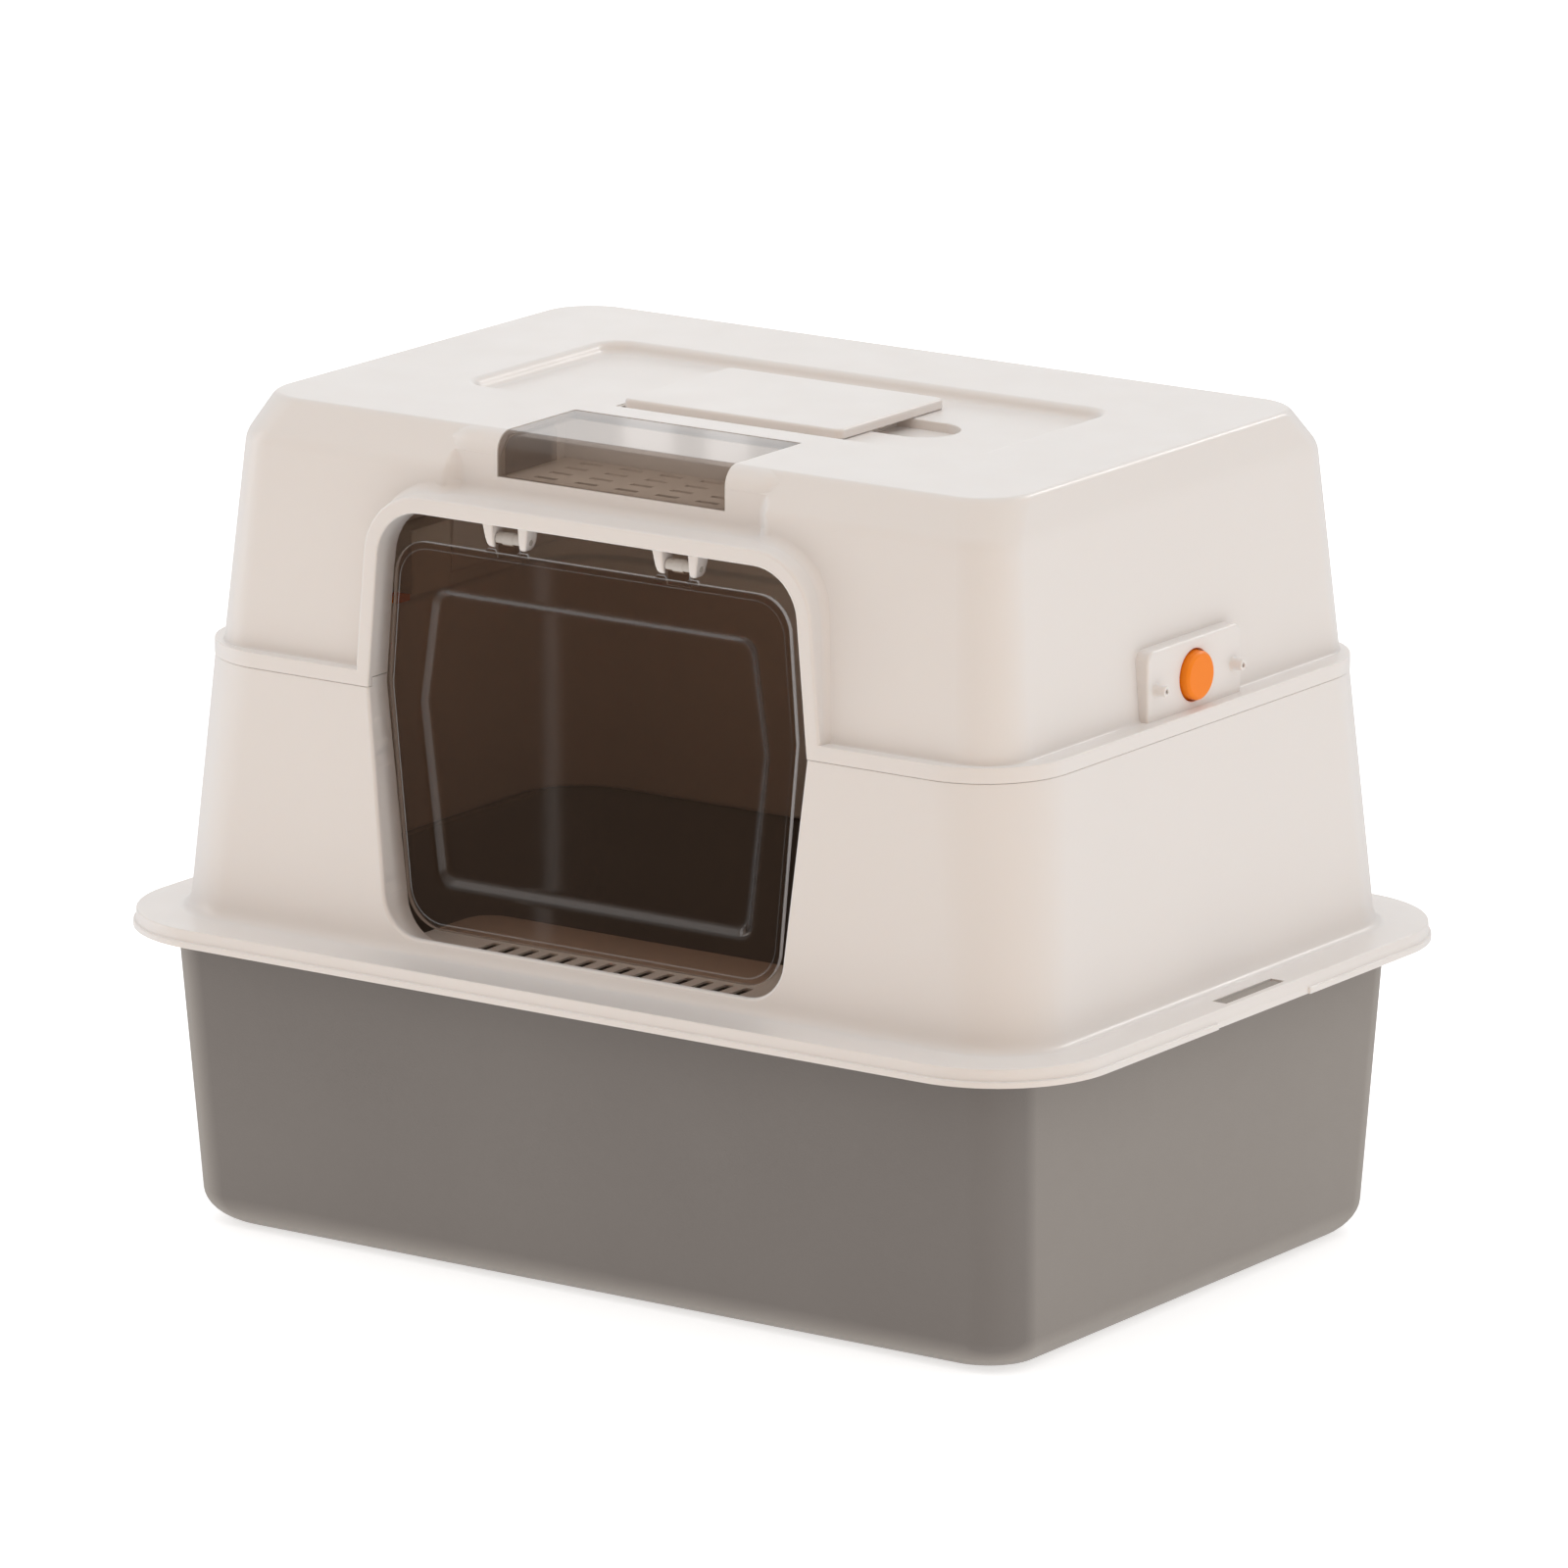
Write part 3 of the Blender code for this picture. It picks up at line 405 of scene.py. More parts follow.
def moulded(name, colour, shade, roughness, grain, grain_size, subsurface=0.0, grazing_sheen=None,
            sheen_from=0.0, specular=0.5):
    """Moulded plastic: a slow drift of colour and gloss, faint flow marks and a fine grain. Given a
    sheen colour, it pales to that painted sheen where the surface turns away from the eye."""
    material, graph = new_material(name)
    shader = graph.nodes["Principled BSDF"]
    place = graph.nodes.new("ShaderNodeTexCoord").outputs["Object"]
    drift = noise(graph, place, 7.0, 2.0)
    cloud = noise(graph, place, 42.0, 4.0, 0.6)
    fine = noise(graph, place, grain_size, 2.0, 0.6)
    surface = mixed(graph, ramp(graph, drift, 0.0, 1.0, 0.38, 0.66), colour, shade)
    # painted sheen: where the surface turns away from the eye its colour pales towards the sheen
    # colour given, standing in for brighter light at grazing angles
    if grazing_sheen:
        turned = ramp(graph, facing(graph), 0.0, 1.0, sheen_from, 0.62)
        surface = mixed(graph, turned, surface, grazing_sheen)
    gloss = ramp(graph, cloud, roughness - 0.035, roughness + 0.045)
    normal = bumped(graph, cloud, 0.12, 0.0006, bumped(graph, fine, grain, 0.0002))
    graph.links.new(surface, shader.inputs["Base Color"])
    graph.links.new(gloss, shader.inputs["Roughness"])
    graph.links.new(normal, shader.inputs["Normal"])
    shader.inputs["Specular IOR Level"].default_value = specular
    if subsurface:
        shader.inputs["Subsurface Weight"].default_value = subsurface
        shader.inputs["Subsurface Radius"].default_value = (1.0, 0.7, 0.5)
        shader.inputs["Subsurface Scale"].default_value = 0.0015
    return material


def smoky(name, tint, deep, haze, haze_share, roughness, rim=None, rim_share=0.0):
    """Clear smoke-brown plastic: a tinted see-through body with a little haze, under a polished
    skin that mirrors more towards grazing angles. Its tint is raised to the power deep where it
    turns away. With a rim colour, the bends and edges that don't face front or back look lit."""
    material, graph = new_material(name)
    graph.nodes.remove(graph.nodes["Principled BSDF"])
    coordinates = graph.nodes.new("ShaderNodeTexCoord")
    place = coordinates.outputs["Object"]
    slant = facing(graph)

    drift = noise(graph, place, 9.0, 2.0)
    clear = mixed(graph, drift, tint, tuple(value * 0.95 for value in tint))
    clear = mixed(graph, ramp(graph, slant, 0.0, 1.0, 0.45, 0.95), clear,
                  tuple(value ** deep for value in tint))
    see = graph.nodes.new("ShaderNodeBsdfTransparent")
    graph.links.new(clear, see.inputs["Color"])
    wisps = ramp(graph, noise(graph, place, 55.0, 3.0), haze_share * 0.92, haze_share * 1.08)
    body = layered(graph, wisps, see.outputs["BSDF"], matt(graph, haze))
    if rim:
        parts = graph.nodes.new("ShaderNodeSeparateXYZ")
        graph.links.new(coordinates.outputs["Normal"], parts.inputs["Vector"])
        flat = maths(graph, "ABSOLUTE", parts.outputs["Y"])
        body = layered(graph, ramp(graph, flat, 0.0, rim_share, 0.80, 0.05), body, matt(graph, rim))

    shine = graph.nodes.new("ShaderNodeBsdfGlossy")
    shine.inputs["Roughness"].default_value = roughness
    ripple = bumped(graph, noise(graph, place, 30.0, 2.0), 0.06, 0.0005)
    graph.links.new(ripple, shine.inputs["Normal"])
    mirror = maths(graph, "MULTIPLY_ADD", maths(graph, "POWER", slant, 5.0), 0.96, 0.04)
    surface = layered(graph, mirror, body, shine.outputs["BSDF"])
    graph.links.new(surface, graph.nodes["Material Output"].inputs["Surface"])
    return material


def metal(name, colour, roughness):
    """Bright metal with fine marks in its gloss."""
    material, graph = new_material(name)
    shader = graph.nodes["Principled BSDF"]
    place = graph.nodes.new("ShaderNodeTexCoord").outputs["Object"]
    shader.inputs["Metallic"].default_value = 1.0
    shader.inputs["Base Color"].default_value = (*colour, 1)
    marks = ramp(graph, noise(graph, place, 900.0, 3.0), roughness - 0.08, roughness + 0.1)
    graph.links.new(marks, shader.inputs["Roughness"])
    return material


# cream shell with a painted sheen: the paler, cooler colour it turns to away from the eye makes its
# top and sides look lighter than the faces towards the eye
CREAM = moulded("cream_shell", (0.80, 0.717, 0.656), (0.785, 0.702, 0.641), 0.32, 0.10, 1500.0,
                subsurface=0.08, grazing_sheen=(0.795, 0.752, 0.725), sheen_from=0.03)
INSERT = moulded("cream_insert", (0.74, 0.68, 0.62), (0.72, 0.66, 0.60), 0.48, 0.12, 1500.0)
# grey pan with a painted sheen: the lighter grey it turns to away from the eye makes its right side
# look brighter than its front
PAN = moulded("pan_grey", (0.208, 0.186, 0.170), (0.198, 0.176, 0.161), 0.50, 0.55, 1100.0,
              grazing_sheen=(0.32, 0.285, 0.255), sheen_from=0.25)
ORANGE = moulded("button_orange", (0.96, 0.235, 0.004), (0.93, 0.222, 0.003), 0.40, 0.08, 1500.0,
                 subsurface=0.05, specular=0.3)
DOOR = smoky("door_smoke", (0.72, 0.63, 0.565), 4.0, (0.20, 0.125, 0.08), 0.035, 0.05,
             rim=(0.70, 0.71, 0.73), rim_share=0.85)
COVER = smoky("cover_smoke", (0.845, 0.805, 0.775), 1.8, (0.34, 0.31, 0.29), 0.06, 0.07)
PIN = moulded("pin_clear", (0.60, 0.55, 0.50), (0.42, 0.38, 0.34), 0.16, 0.25, 700.0)
SCREW = metal("screw_steel", (0.62, 0.62, 0.60), 0.30)
SPRING = metal("spring_steel", (0.55, 0.55, 0.55), 0.25)


def place_piece(obj, body, material, slot, *nodes):
    """Gives a piece its material and the body it rides on, in place of the CAD nodes named."""
    obj.data.materials.clear()
    obj.data.materials.append(material)
    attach(obj, body)
    if nodes:
        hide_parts(*nodes)


# ---- outlines of the entry -------------------------------
def subdivided(outline, longest=5.0):
    """Adds points so that no step of a closed outline is longer than longest."""
    out = []
    for i, point in enumerate(outline):
        here, after = Vector(point), Vector(outline[(i + 1) % len(outline)])
        parts = max(1, math.ceil((after - here).length / longest))
        out += [tuple(here.lerp(after, step / parts)) for step in range(parts)]
    return out


def entry_outline(foot_z, foot_radius):
    """The entry as (x, z) points: widest at the seam, narrower at its top and its foot."""
    slope = (DOOR_WIDE_X - DOOR_FOOT_X) / (DOOR_WIDE_Z - SILL_Z)
    foot_x = DOOR_FOOT_X + (foot_z - SILL_Z) * slope
    right = [(DOOR_TOP_X, DOOR_TOP_Z, DOOR_TOP_RADIUS), (DOOR_WIDE_X, DOOR_WIDE_Z, 0),
             (foot_x, foot_z, foot_radius)]
    left = [(-x, z, radius) for x, z, radius in reversed(right)]
    return subdivided(polygon(right + left))


def upper_wall_y(z):
    """Front face of the upper hood's wall and of the chamfer above it."""
    if z <= SHOULDER_Z:
        lean = SHOULDER_Y - UPPER_FOOT_Y
        return UPPER_FOOT_Y + lean * (z - UPPER_FOOT_Z) / (SHOULDER_Z - UPPER_FOOT_Z)
    return SHOULDER_Y + CHAMFER_RUN * (z - SHOULDER_Z) / CHAMFER_RISE


def lower_wall_y(z):
    """Front face of the lower hood's wall."""
    return LOWER_FOOT_Y + LOWER_LEAN * (z - FLANGE_Z) / (SEAM_Z - FLANGE_Z)


SOFT_SIDE = 6.0            # radius of the soft bends at the sides of the vent's recess
SOFT_X = 88.0              # distance of the middle of those sides from the centre


def recess_side(depth, steps=8):
    """S-shaped side of the recess as (x, depth) points, from the wall in to its floor."""
    angle = math.acos(1 - depth / (2 * SOFT_SIDE))
    reach = 2 * SOFT_SIDE * math.sin(angle)
    points = []
    for step in range(steps + 1):
        turn = angle * step / steps
        points.append((SOFT_X + reach / 2 - SOFT_SIDE * math.sin(turn),
                       SOFT_SIDE * (1 - math.cos(turn))))
    for step in range(1, steps + 1):
        turn = angle * (1 - step / steps)
        points.append((SOFT_X - reach / 2 + SOFT_SIDE * math.sin(turn),
                       depth - SOFT_SIDE * (1 - math.cos(turn))))
    return points


def front_y(x, z):
    """Surface of the upper hood's front, with the recess round the vent."""
    wall = upper_wall_y(z)
    depth = VENT_FACE_Y - wall
    if depth <= 0.02:
        return wall
    side = recess_side(depth)
    if abs(x) >= side[0][0]:
        return wall
    if abs(x) <= side[-1][0]:
        return VENT_FACE_Y
    for (x0, d0), (x1, d1) in zip(side, side[1:]):
        if x1 <= abs(x) <= x0:
            return wall + d0 + (d1 - d0) * (x0 - abs(x)) / max(x0 - x1, 1e-6)
    return wall


def flared(name, outline, ease, face_at, back_y):
    """Cutter through a wall: its mouth widens so that the cut leaves an eased front edge."""
    rings = [[(x, -200.0, z) for x, z in shrink(outline, -ease)]]
    for angle in quarter_turn(6):
        ring = []
        for x, z in shrink(outline, -ease * (1 - math.sin(angle))):
            ring.append((x, face_at(z) - 0.05 + ease * (1 - math.cos(angle)), z))
        rings.append(ring)
    rings.append([(x, back_y, z) for x, z in outline])
    return loft(name, rings)


# ---- litter pan ------------------------------------------
def pan_sections(inset, floor_z, top_z):
    """Sections of the pan's wall, inset mm from its outside, from the floor's fillet up."""
    fillet = PAN_FILLET - inset
    corner = PAN_CORNER - inset
    foot_x, foot_y, top_x, top_y = 235.2, 156.9, 241.8, 168.0
    sections = []
    for angle in quarter_turn(10):
        z = floor_z + fillet * (1 - math.cos(angle))
        pull = fillet * (1 - math.sin(angle)) + inset
        rise = z / SKIRT_Z
        sections.append((foot_x + (top_x - foot_x) * rise - pull,
                         foot_y + (top_y - foot_y) * rise - pull, corner, z, 0))
    sections.append((top_x - inset, top_y - inset, corner, top_z, 0))
    return sections


def litter_pan():
    """Pan with a flanged rim, and a tongue on each side that joins it to the lower hood."""
    rim_foot_z = PAN_RIM_Z - PAN_RIM_DEPTH
    outside = pan_sections(0.0, 0.0, rim_foot_z)
    outside[-1] = (*outside[-1][:4], 2.0)
    outside += [(263.4, 183.7, 53.3, rim_foot_z, 0.8), (263.4, 183.7, 53.3, PAN_RIM_Z, 0.8),
                (258.0, 178.0, 48.0, PAN_RIM_Z, 0)]
    pan = shell("pan_shell", outside)
    hollow = pan_sections(PAN_WALL, PAN_WALL, PAN_RIM_Z)
    hollow[-1] = (*hollow[-1][:4], 2.0)
    hollow += [(245.0, 171.0, 28.0, PAN_RIM_Z + 3.0, 0)]
    cut(pan, shell("pan_hollow", hollow))
    add(pan, block("tongues", [span(side, 257.6, 263.2, CENTRE_Y - 24, CENTRE_Y + 24, 148, 152.7)
                               for _, side in SIDES]))
    place_piece(clean(pan), "litter_pan", PAN, "pan_grey", "litter_pan")


# ---- lower hood ------------------------------------------
def lower_hood():
    """Hood's lower half: the flange over the pan's rim, the walls, the lip that goes up into the
    upper hood, and the entry with its slotted step."""
    outside = [
        (270.0, 190.3, 60.0, SKIRT_Z, 0),
        (270.0, 190.3, 60.0, 147.5, 0.45),
        (268.8, 189.1, 58.8, 147.9, 0.3),
        (268.4, 188.8, 58.2, FLANGE_Z, 1.1),
        (245.4, 162.65, 37.3, FLANGE_Z, 8.5),
        (236.3, 158.0, 45.0, SEAM_Z, 0.4),
        (233.3, 155.0, 42.0, SEAM_Z, 0),
        (233.3, 155.0, 42.0, LIP_Z, 0),
    ]
    inside = [
        (267.4, 187.8, 57.5, SKIRT_Z - 1.0, 0),
        (265.9, 186.3, 56.0, FLANGE_Z - WALL, 1.0),
        (242.5, 159.9, 35.2, FLANGE_Z - WALL, 3.0),
        (234.4, 155.6, 42.0, 268.0, 2.0),
        (230.8, 152.5, 39.5, 271.6, 1.0),
        (230.8, 152.5, 39.5, LIP_Z + 1.0, 0),
    ]
    hood = shell("lower_shell", outside)
    hollow = shell("lower_hollow", inside)

    # what stays solid inside the hollow: the entry's sides, the step and its lip
    step_wall, step_half, lip_half, lip_foot_z = 2.4, 112, 97, 147.5
    outer = shrink(entry_outline(SHELF_Z - step_wall, 24.0), -WALL)
    rim = prism("lower_frame", outer, "XZ", -175.0, RETURN_Y)
    cut(rim, prism("lower_mouth", entry_outline(SHELF_Z, 21.6), "XZ", -180.0, RETURN_Y + 5))
    step_outline = polygon([(step_half, -175, 0), (step_half, SHELF_BACK_Y, 14),
                            (-step_half, SHELF_BACK_Y, 14), (-step_half, -175, 0)])
    step = prism("step", step_outline, "XY", SHELF_Z - step_wall, SHELF_Z)
    lip = block("step_lip", [(-lip_half, lip_half, SHELF_BACK_Y - step_wall, SHELF_BACK_Y,
                              lip_foot_z, SHELF_Z)])
    cut(hollow, rim, step, lip)

    opening = flared("lower_opening", entry_outline(SILL_Z, 20.0), 1.8,
                     lambda z: lower_wall_y(min(z, SEAM_Z)), -148.0)

    # a window over each of the pan's tongues, and a plain stretch of the skirt's bead below it
    windows = [span(side, 257.0, 264.8, CENTRE_Y - 25, CENTRE_Y + 25, 149, 156)
               for _, side in SIDES]
    plain = [span(side, 268.75, 274, CENTRE_Y - 39, CENTRE_Y + 39, 143, 147.95)
             for _, side in SIDES]
    cut(hood, block("windows", windows), block("plain", plain), opening)

    # the slots, in a plate that is thinner around them
    middle = (SLOT_COUNT - 1) / 2
    slots = []
    for index in range(SLOT_COUNT):
        x = (index - middle) * SLOT_PITCH
        slot = rectangle(2.4, 11.0, 1.2, (x, -139.0), 4)
        slots.append(prism(f"slot_{index}", slot, "XY", SHELF_Z - 5, SHELF_Z + 2))
    slot_reach = (middle + 1) * SLOT_PITCH
    thinned = block("thinned", [(-slot_reach, slot_reach, -151.2, -126.4, SHELF_Z - 6.3,
                                 SHELF_Z - 1.0)])
    add(hollow, thinned, *slots)
    cut(hood, hollow)
    place_piece(clean(hood, 0.25), "lower_hood", CREAM, "hood_cream", "lower_hood")


# ---- upper hood ------------------------------------------
def bent_profile(face_y, top_z, inset, foot_z, back_y, steps=12):
    """Side outline (y, z) up the vent's face, round its bend and back along the roof."""
    radius = VENT_BEND - inset
    points = [(face_y + inset, foot_z)]
    for angle in quarter_turn(steps):
        points.append((face_y + VENT_BEND - radius * math.cos(angle),
                       top_z - VENT_BEND + radius * math.sin(angle)))
    points.append((back_y, top_z - inset))
    return points


def brow():
    """Surround of the vent: it bends up to the roof, and its ends sink into the chamfer."""
    foot_z, back_y = 366.0, -112.0
    left_end = [(-97, 4.0), (-92, 2.0), (-88, 0.7), (-84, 0.1), (-80, 0.0)]
    rings = []
    for x, inset in left_end + [(-x, inset) for x, inset in reversed(left_end)]:
        outline = bent_profile(VENT_FACE_Y, ROOF_Z - 0.02, inset, foot_z, back_y)
        outline.append((back_y, foot_z))
        rings.append([(x, y, z) for y, z in outline])
    return loft("brow", rings)


def front_recess():
    """Cutter of the shallow recess round the vent, which fades out on the chamfer."""
    rings = []
    for z in (358.0, 364.0, 370.0, 374.0, 378.0, 381.0, 383.0, 384.5, 386.0, 387.5, 389.0,
              390.0, 390.8):
        wall = upper_wall_y(z)
        side = recess_side(VENT_FACE_Y - wall)
        half = [(x, wall + depth - 0.03) for x, depth in side]
        ring = [(SOFT_X + 12, -175.0), (SOFT_X + 12, wall - 0.03)] + half
        ring += [(-x, y) for x, y in reversed(ring)]
        rings.append([(x, y, z) for x, y in ring])
    return loft("front_recess", rings)


def porch():
    """Plate round the entry: eased front edges and a soft fillet where it meets the wall."""
    fillet, front, back_y = 5.0, 1.6, -130.0
    outline = entry_outline(SEAM_Z - 40, 0)

    def ring(spread, depth_at):
        return [(x, depth_at(x, z), z) for x, z in shrink(outline, -spread)]

    rings = [ring(0.0, lambda x, z: back_y), ring(BAND + fillet + 0.6, lambda x, z: back_y)]
    rings.append(ring(BAND + fillet + 0.6, lambda x, z: front_y(x, z) + 0.25))
    for angle in quarter_turn(8):
        rise = fillet * (1 - math.cos(angle))
        rings.append(ring(BAND + fillet * (1 - math.sin(angle)),
                          lambda x, z, rise=rise: front_y(x, z) - rise - 0.05))
    for angle in quarter_turn(5):
        y = PORCH_Y + front * (1 - math.sin(angle))
        rings.append(ring(BAND - front * (1 - math.cos(angle)), lambda x, z, y=y: y))
    rings.append(ring(0.0, lambda x, z: PORCH_Y))
    plate = loft("porch", rings)
    cut(plate, block("below", [(-170, 170, -200, -100, 150, SEAM_Z + 0.3)]))
    return plate


def pad(side):
    """Raised plate round a release button."""
    low_y, high_y = CENTRE_Y - 39.5, CENTRE_Y + 39.5
    foot_z, top_z, corner, edge = LEDGE_Z - 1.5, 316.5, 5.5, 1.3
    outline = polygon([(low_y, foot_z, 0), (high_y, foot_z, 0), (high_y, top_z, corner),
                       (low_y, top_z, corner)], 6)
    rings = [[(side * 215.0, y, z) for y, z in outline]]
    for angle in quarter_turn(4):
        inset = edge * (1 - math.cos(angle))
        x = PAD_X - edge * (1 - math.sin(angle))
        rings.append([(side * x, y, z) for y, z in shrink(outline, inset)])
    return loft("pad", rings)


def peg(side, y):
    """Small screw boss beside a button, with a blind bore."""
    profile = [(0, -2.2), (3.9, -2.2), (3.8, -0.05), (3.3, 0.25), (3.0, 0.8), (2.85, 1.6),
               (2.6, 5.2), (2.4, 5.8), (2.1, 6.0), (1.35, 6.0), (1.15, 5.8), (1.15, 0.4), (0, 0.4)]
    return lathe("peg", profile, (side * PAD_X, y, PEG_Z), (side, 0, 0), 28)


def hinge_lug(middle, way):
    """Tapered cheek on one side of a door knuckle, hanging from the top of the entry."""
    rings = []
    for width, half_depth, z in ((6.4, 5.2, DOOR_TOP_Z + 1), (5.6, 4.9, DOOR_TOP_Z - 1.5),
                                 (4.5, 4.3, AXIS_Z), (3.8, 3.7, AXIS_Z - 2.6),
                                 (3.2, 3.0, AXIS_Z - 3.7), (2.2, 2.0, AXIS_Z - 4.2)):
        inner = middle + way * 7.2
        outer = inner + way * width
        centre = (inner + outer) / 2
        outline = rectangle(width / 2, half_depth, min(1.0, width / 3), (centre, AXIS_Y), 4)
        rings.append([(x, y, z) for x, y in outline])
    return loft("hinge_lug", rings)


def roof_recess():
    """Shallow tray in the roof with soft S-shaped sides."""
    depth, bend, steps = ROOF_Z - RECESS_Z, 5.0, 8
    angle = math.acos(1 - depth / (2 * bend))
    reach = bend * math.sin(angle)
    half_x, half_y, radius = 142.0, 59.0, 12.0
    sections = []
    for step in range(steps + 1):
        turn = angle * step / steps
        grow = reach - bend * math.sin(turn)
        sections.append((grow, ROOF_Z - bend * (1 - math.cos(turn)) + 0.02))
    for step in range(1, steps + 1):
        turn = angle * (1 - step / steps)
        sections.append((-reach + bend * math.sin(turn), RECESS_Z + bend * (1 - math.cos(turn))))
    rings = [(half_x + reach, half_y + reach, radius + reach, ROOF_Z + 3.0, 0)]
    rings += [(half_x + grow, half_y + grow, radius + grow, z, 0) for grow, z in sections]
    return shell("roof_recess", rings, (0.0, CENTRE_Y + 2))


def finger_notch():
    """Cutter of the hollow beside the lid, where a finger gets under its edge."""
    half, end_x, corner = 17, 96.0, 16.5
    outline = polygon([(52.5, CENTRE_Y - half, 0), (end_x, CENTRE_Y - half, corner),
                       (end_x, CENTRE_Y + half, corner), (52.5, CENTRE_Y + half, 0)], 14)
    rings = []
    for grow, z in ((0.0, 391.0), (0.0, 394.7), (0.3, 395.4), (1.2, 395.75), (1.2, 399.0)):
        rings.append([(x, y, z) for x, y in shrink(outline, -grow)])
    return loft("notch", rings)


def rod(name, base, axis, radius, low, high, steps=24):
    """Cylinder from low to high along an axis through base."""
    return lathe(name, [(0, low), (radius, low), (radius, high), (0, high)], base, axis, steps)


def upper_hood():
    """Hood's upper half: the ledge over the lower half's lip, the walls and the roof."""
    outside = [
        (236.5, 158.3, 45.0, SEAM_Z + 0.3, 0),
        (236.5, 158.3, 45.0, LEDGE_Z, 1.2),
        (225.55, 151.35, 24.4, LEDGE_Z, 3.0),
        (217.1, 142.5, 22.8, SHOULDER_Z, 4.0),
        (210.7, 130.04, 25.9, ROOF_Z, 3.2),
        (196.0, 116.0, 14.0, ROOF_Z, 0),
    ]
    inside = [
        (233.7, 155.5, 42.2, SEAM_Z - 1.0, 0),
        (233.7, 155.5, 42.2, LEDGE_Z - WALL - 0.1, 0.8),
        (221.5, 147.3, 20.4, LEDGE_Z - WALL - 0.1, 2.0),
        (214.5, 139.9, 20.2, SHOULDER_Z - 1.0, 3.0),
        (208.4, 128.0, 23.5, ROOF_Z - WALL, 0),
    ]
    hood = shell("upper_shell", outside)
    hollow = shell("upper_hollow", inside)
    add(hood, brow())
    cut(hood, front_recess())
    add(hood, porch(), pad(1), pad(-1))

    # what stays solid inside the hollow: behind the vent, under the roof's recess, round the
    # notch and the entry, and the bosses for the trays' screws
    keep = block("liners", [
        (-91, 91, -150, VENT_FACE_Y + WALL, DOOR_TOP_Z, 399.5),
        (-147, 147, -59, 68, RECESS_Z - 2.4, 399.2),
    ])
    notch_liner = block("notch_liner", [(WELL[1], 99.5, CENTRE_Y - 19.6, CENTRE_Y + 19.6,
                                         383.9, 394.5)])
    rim = prism("upper_frame", shrink(entry_outline(SEAM_Z - 40, 0), -BAND), "XZ",
                -160.0, RETURN_Y)
    cut(rim, block("rim_below", [(-160, 160, -200, -100, 150, LIP_Z + 0.4)]))
    bosses = [rod("boss", (x, y, 0), UP, 4.0, 392.3, 400) for x, y in VENT_BOSSES]
    bosses += [rod("boss", (x, y, 0), UP, 3.8, 388.3, 394.5) for x, y in FILTER_BOSSES]
    cut(hollow, keep, notch_liner, rim, *bosses)

    pad_hollows = block("pad_hollows", [span(side, 205, PAD_X - WALL, CENTRE_Y - 36.9,
                                             CENTRE_Y + 36.9, SEAM_Z, 313.9)
                                        for _, side in SIDES])
    opening = flared("upper_opening", entry_outline(SILL_Z, 20.0), 1.2,
                     lambda z: PORCH_Y, RETURN_Y + 8)
    window_outline = rectangle(VENT_HALF, 34.9, 0.6, (0, -110.1), 3)
    window = prism("window", window_outline, "XY", VENT_SILL_Z, 405.0)
    well = block("well", [(*WELL, 380.0, 397.0)])
    cut(hood, hollow, pad_hollows, opening, window, roof_recess(), well, finger_notch())

    add(hood, *[peg(side, CENTRE_Y + way * PEG_SPACING) for _, side in SIDES
                for way in (-1, 1)])
    lugs = [hinge_lug(middle, way) for middle in (-HINGE_X, HINGE_X) for way in (-1, 1)]
    add(hood, *lugs)

    # holes for the buttons, with an eased mouth, and bores for the hinge pins and the screws
    hole = [(0, 0), (12.4, 0), (12.4, 7.3), (12.6, 7.8), (13.2, 8.05), (13.2, 16), (0, 16)]
    drills = [lathe("hole", hole, (side * (PAD_X - 8), CENTRE_Y, BUTTON_Z), (side, 0, 0), 64)
              for _, side in SIDES]
    drills += [rod("pin_bore", (x, AXIS_Y, AXIS_Z), RIGHT, 1.55, -15, 15)
               for x in (-HINGE_X, HINGE_X)]
    drills += [rod("bore", (x, y, 0), UP, 1.2, 390, 397.5, 16) for x, y in VENT_BOSSES]
    drills += [rod("bore", (x, y, 0), UP, 1.2, 386, 393.8, 16) for x, y in FILTER_BOSSES]
    cut(hood, *drills)
    place_piece(clean(hood, 0.25), "upper_hood", CREAM, "hood_cream", "upper_hood")


# ---- entry door ------------------------------------------
def door_panel(front):
    """Flap: a sheet with a raised bead along its edge, and a middle that is pressed in."""
    sheet, pressed, bead = 2.4, 4.0, 0.8
    bend_at, foot_at, end_at = 20.0, 24.0, 27.0
    edge = [(110.5, 348.6, 18), (115.5, 281.0, 0), (104.5, 163.5, 20)]
    bend = [(91.0, 327.0, 8), (99.0, 272.0, 0), (88.5, 184.5, 8)]
    floor = [(87.0, 323.5, 7), (94.8, 272.0, 0), (84.5, 189.0, 6)]
    outlines = []
    for corners in (edge, bend, floor):
        outlines.append(polygon(corners + [(-x, z, r) for x, z, r in reversed(corners)], 12))

    def ring(where, y):
        """where runs inwards: 0 at the edge, then the bend, the pressed wall's foot, the end."""
        low, share = 1, (where - bend_at) / (foot_at - bend_at)
        if where <= bend_at:
            low, share = 0, where / bend_at
        points = []
        for (x0, z0), (x1, z1) in zip(outlines[low], outlines[low + 1]):
            points.append((x0 + (x1 - x0) * share, y, z0 + (z1 - z0) * share))
        return points

    side = rounded([(end_at, front + pressed, 0), (foot_at, front + pressed, 1.2),
                    (bend_at, front, 1.4), (3.3, front, 0.5), (2.8, front - bead, 0.5),
                    (0.0, front - bead, 1.0), (0.0, front + sheet, 0.9),
                    (bend_at, front + sheet, 1.4), (foot_at, front + sheet + pressed, 1.2),
                    (end_at, front + sheet + pressed, 0)], 6)
    return loft("door_panel", [ring(where, y) for where, y in side])


def door_tab(name, centre, front):
    foot_z, top_z = 347.4, 349.9
    outline = polygon([(centre - 3.0, foot_z, 0.5), (centre + 3.0, foot_z, 0.5),
                       (centre + 3.0, top_z, 1.2), (centre - 3.0, top_z, 1.2)], 5)
    return prism(name, outline, "XZ", front + 0.15, front + 2.25, 0.5)


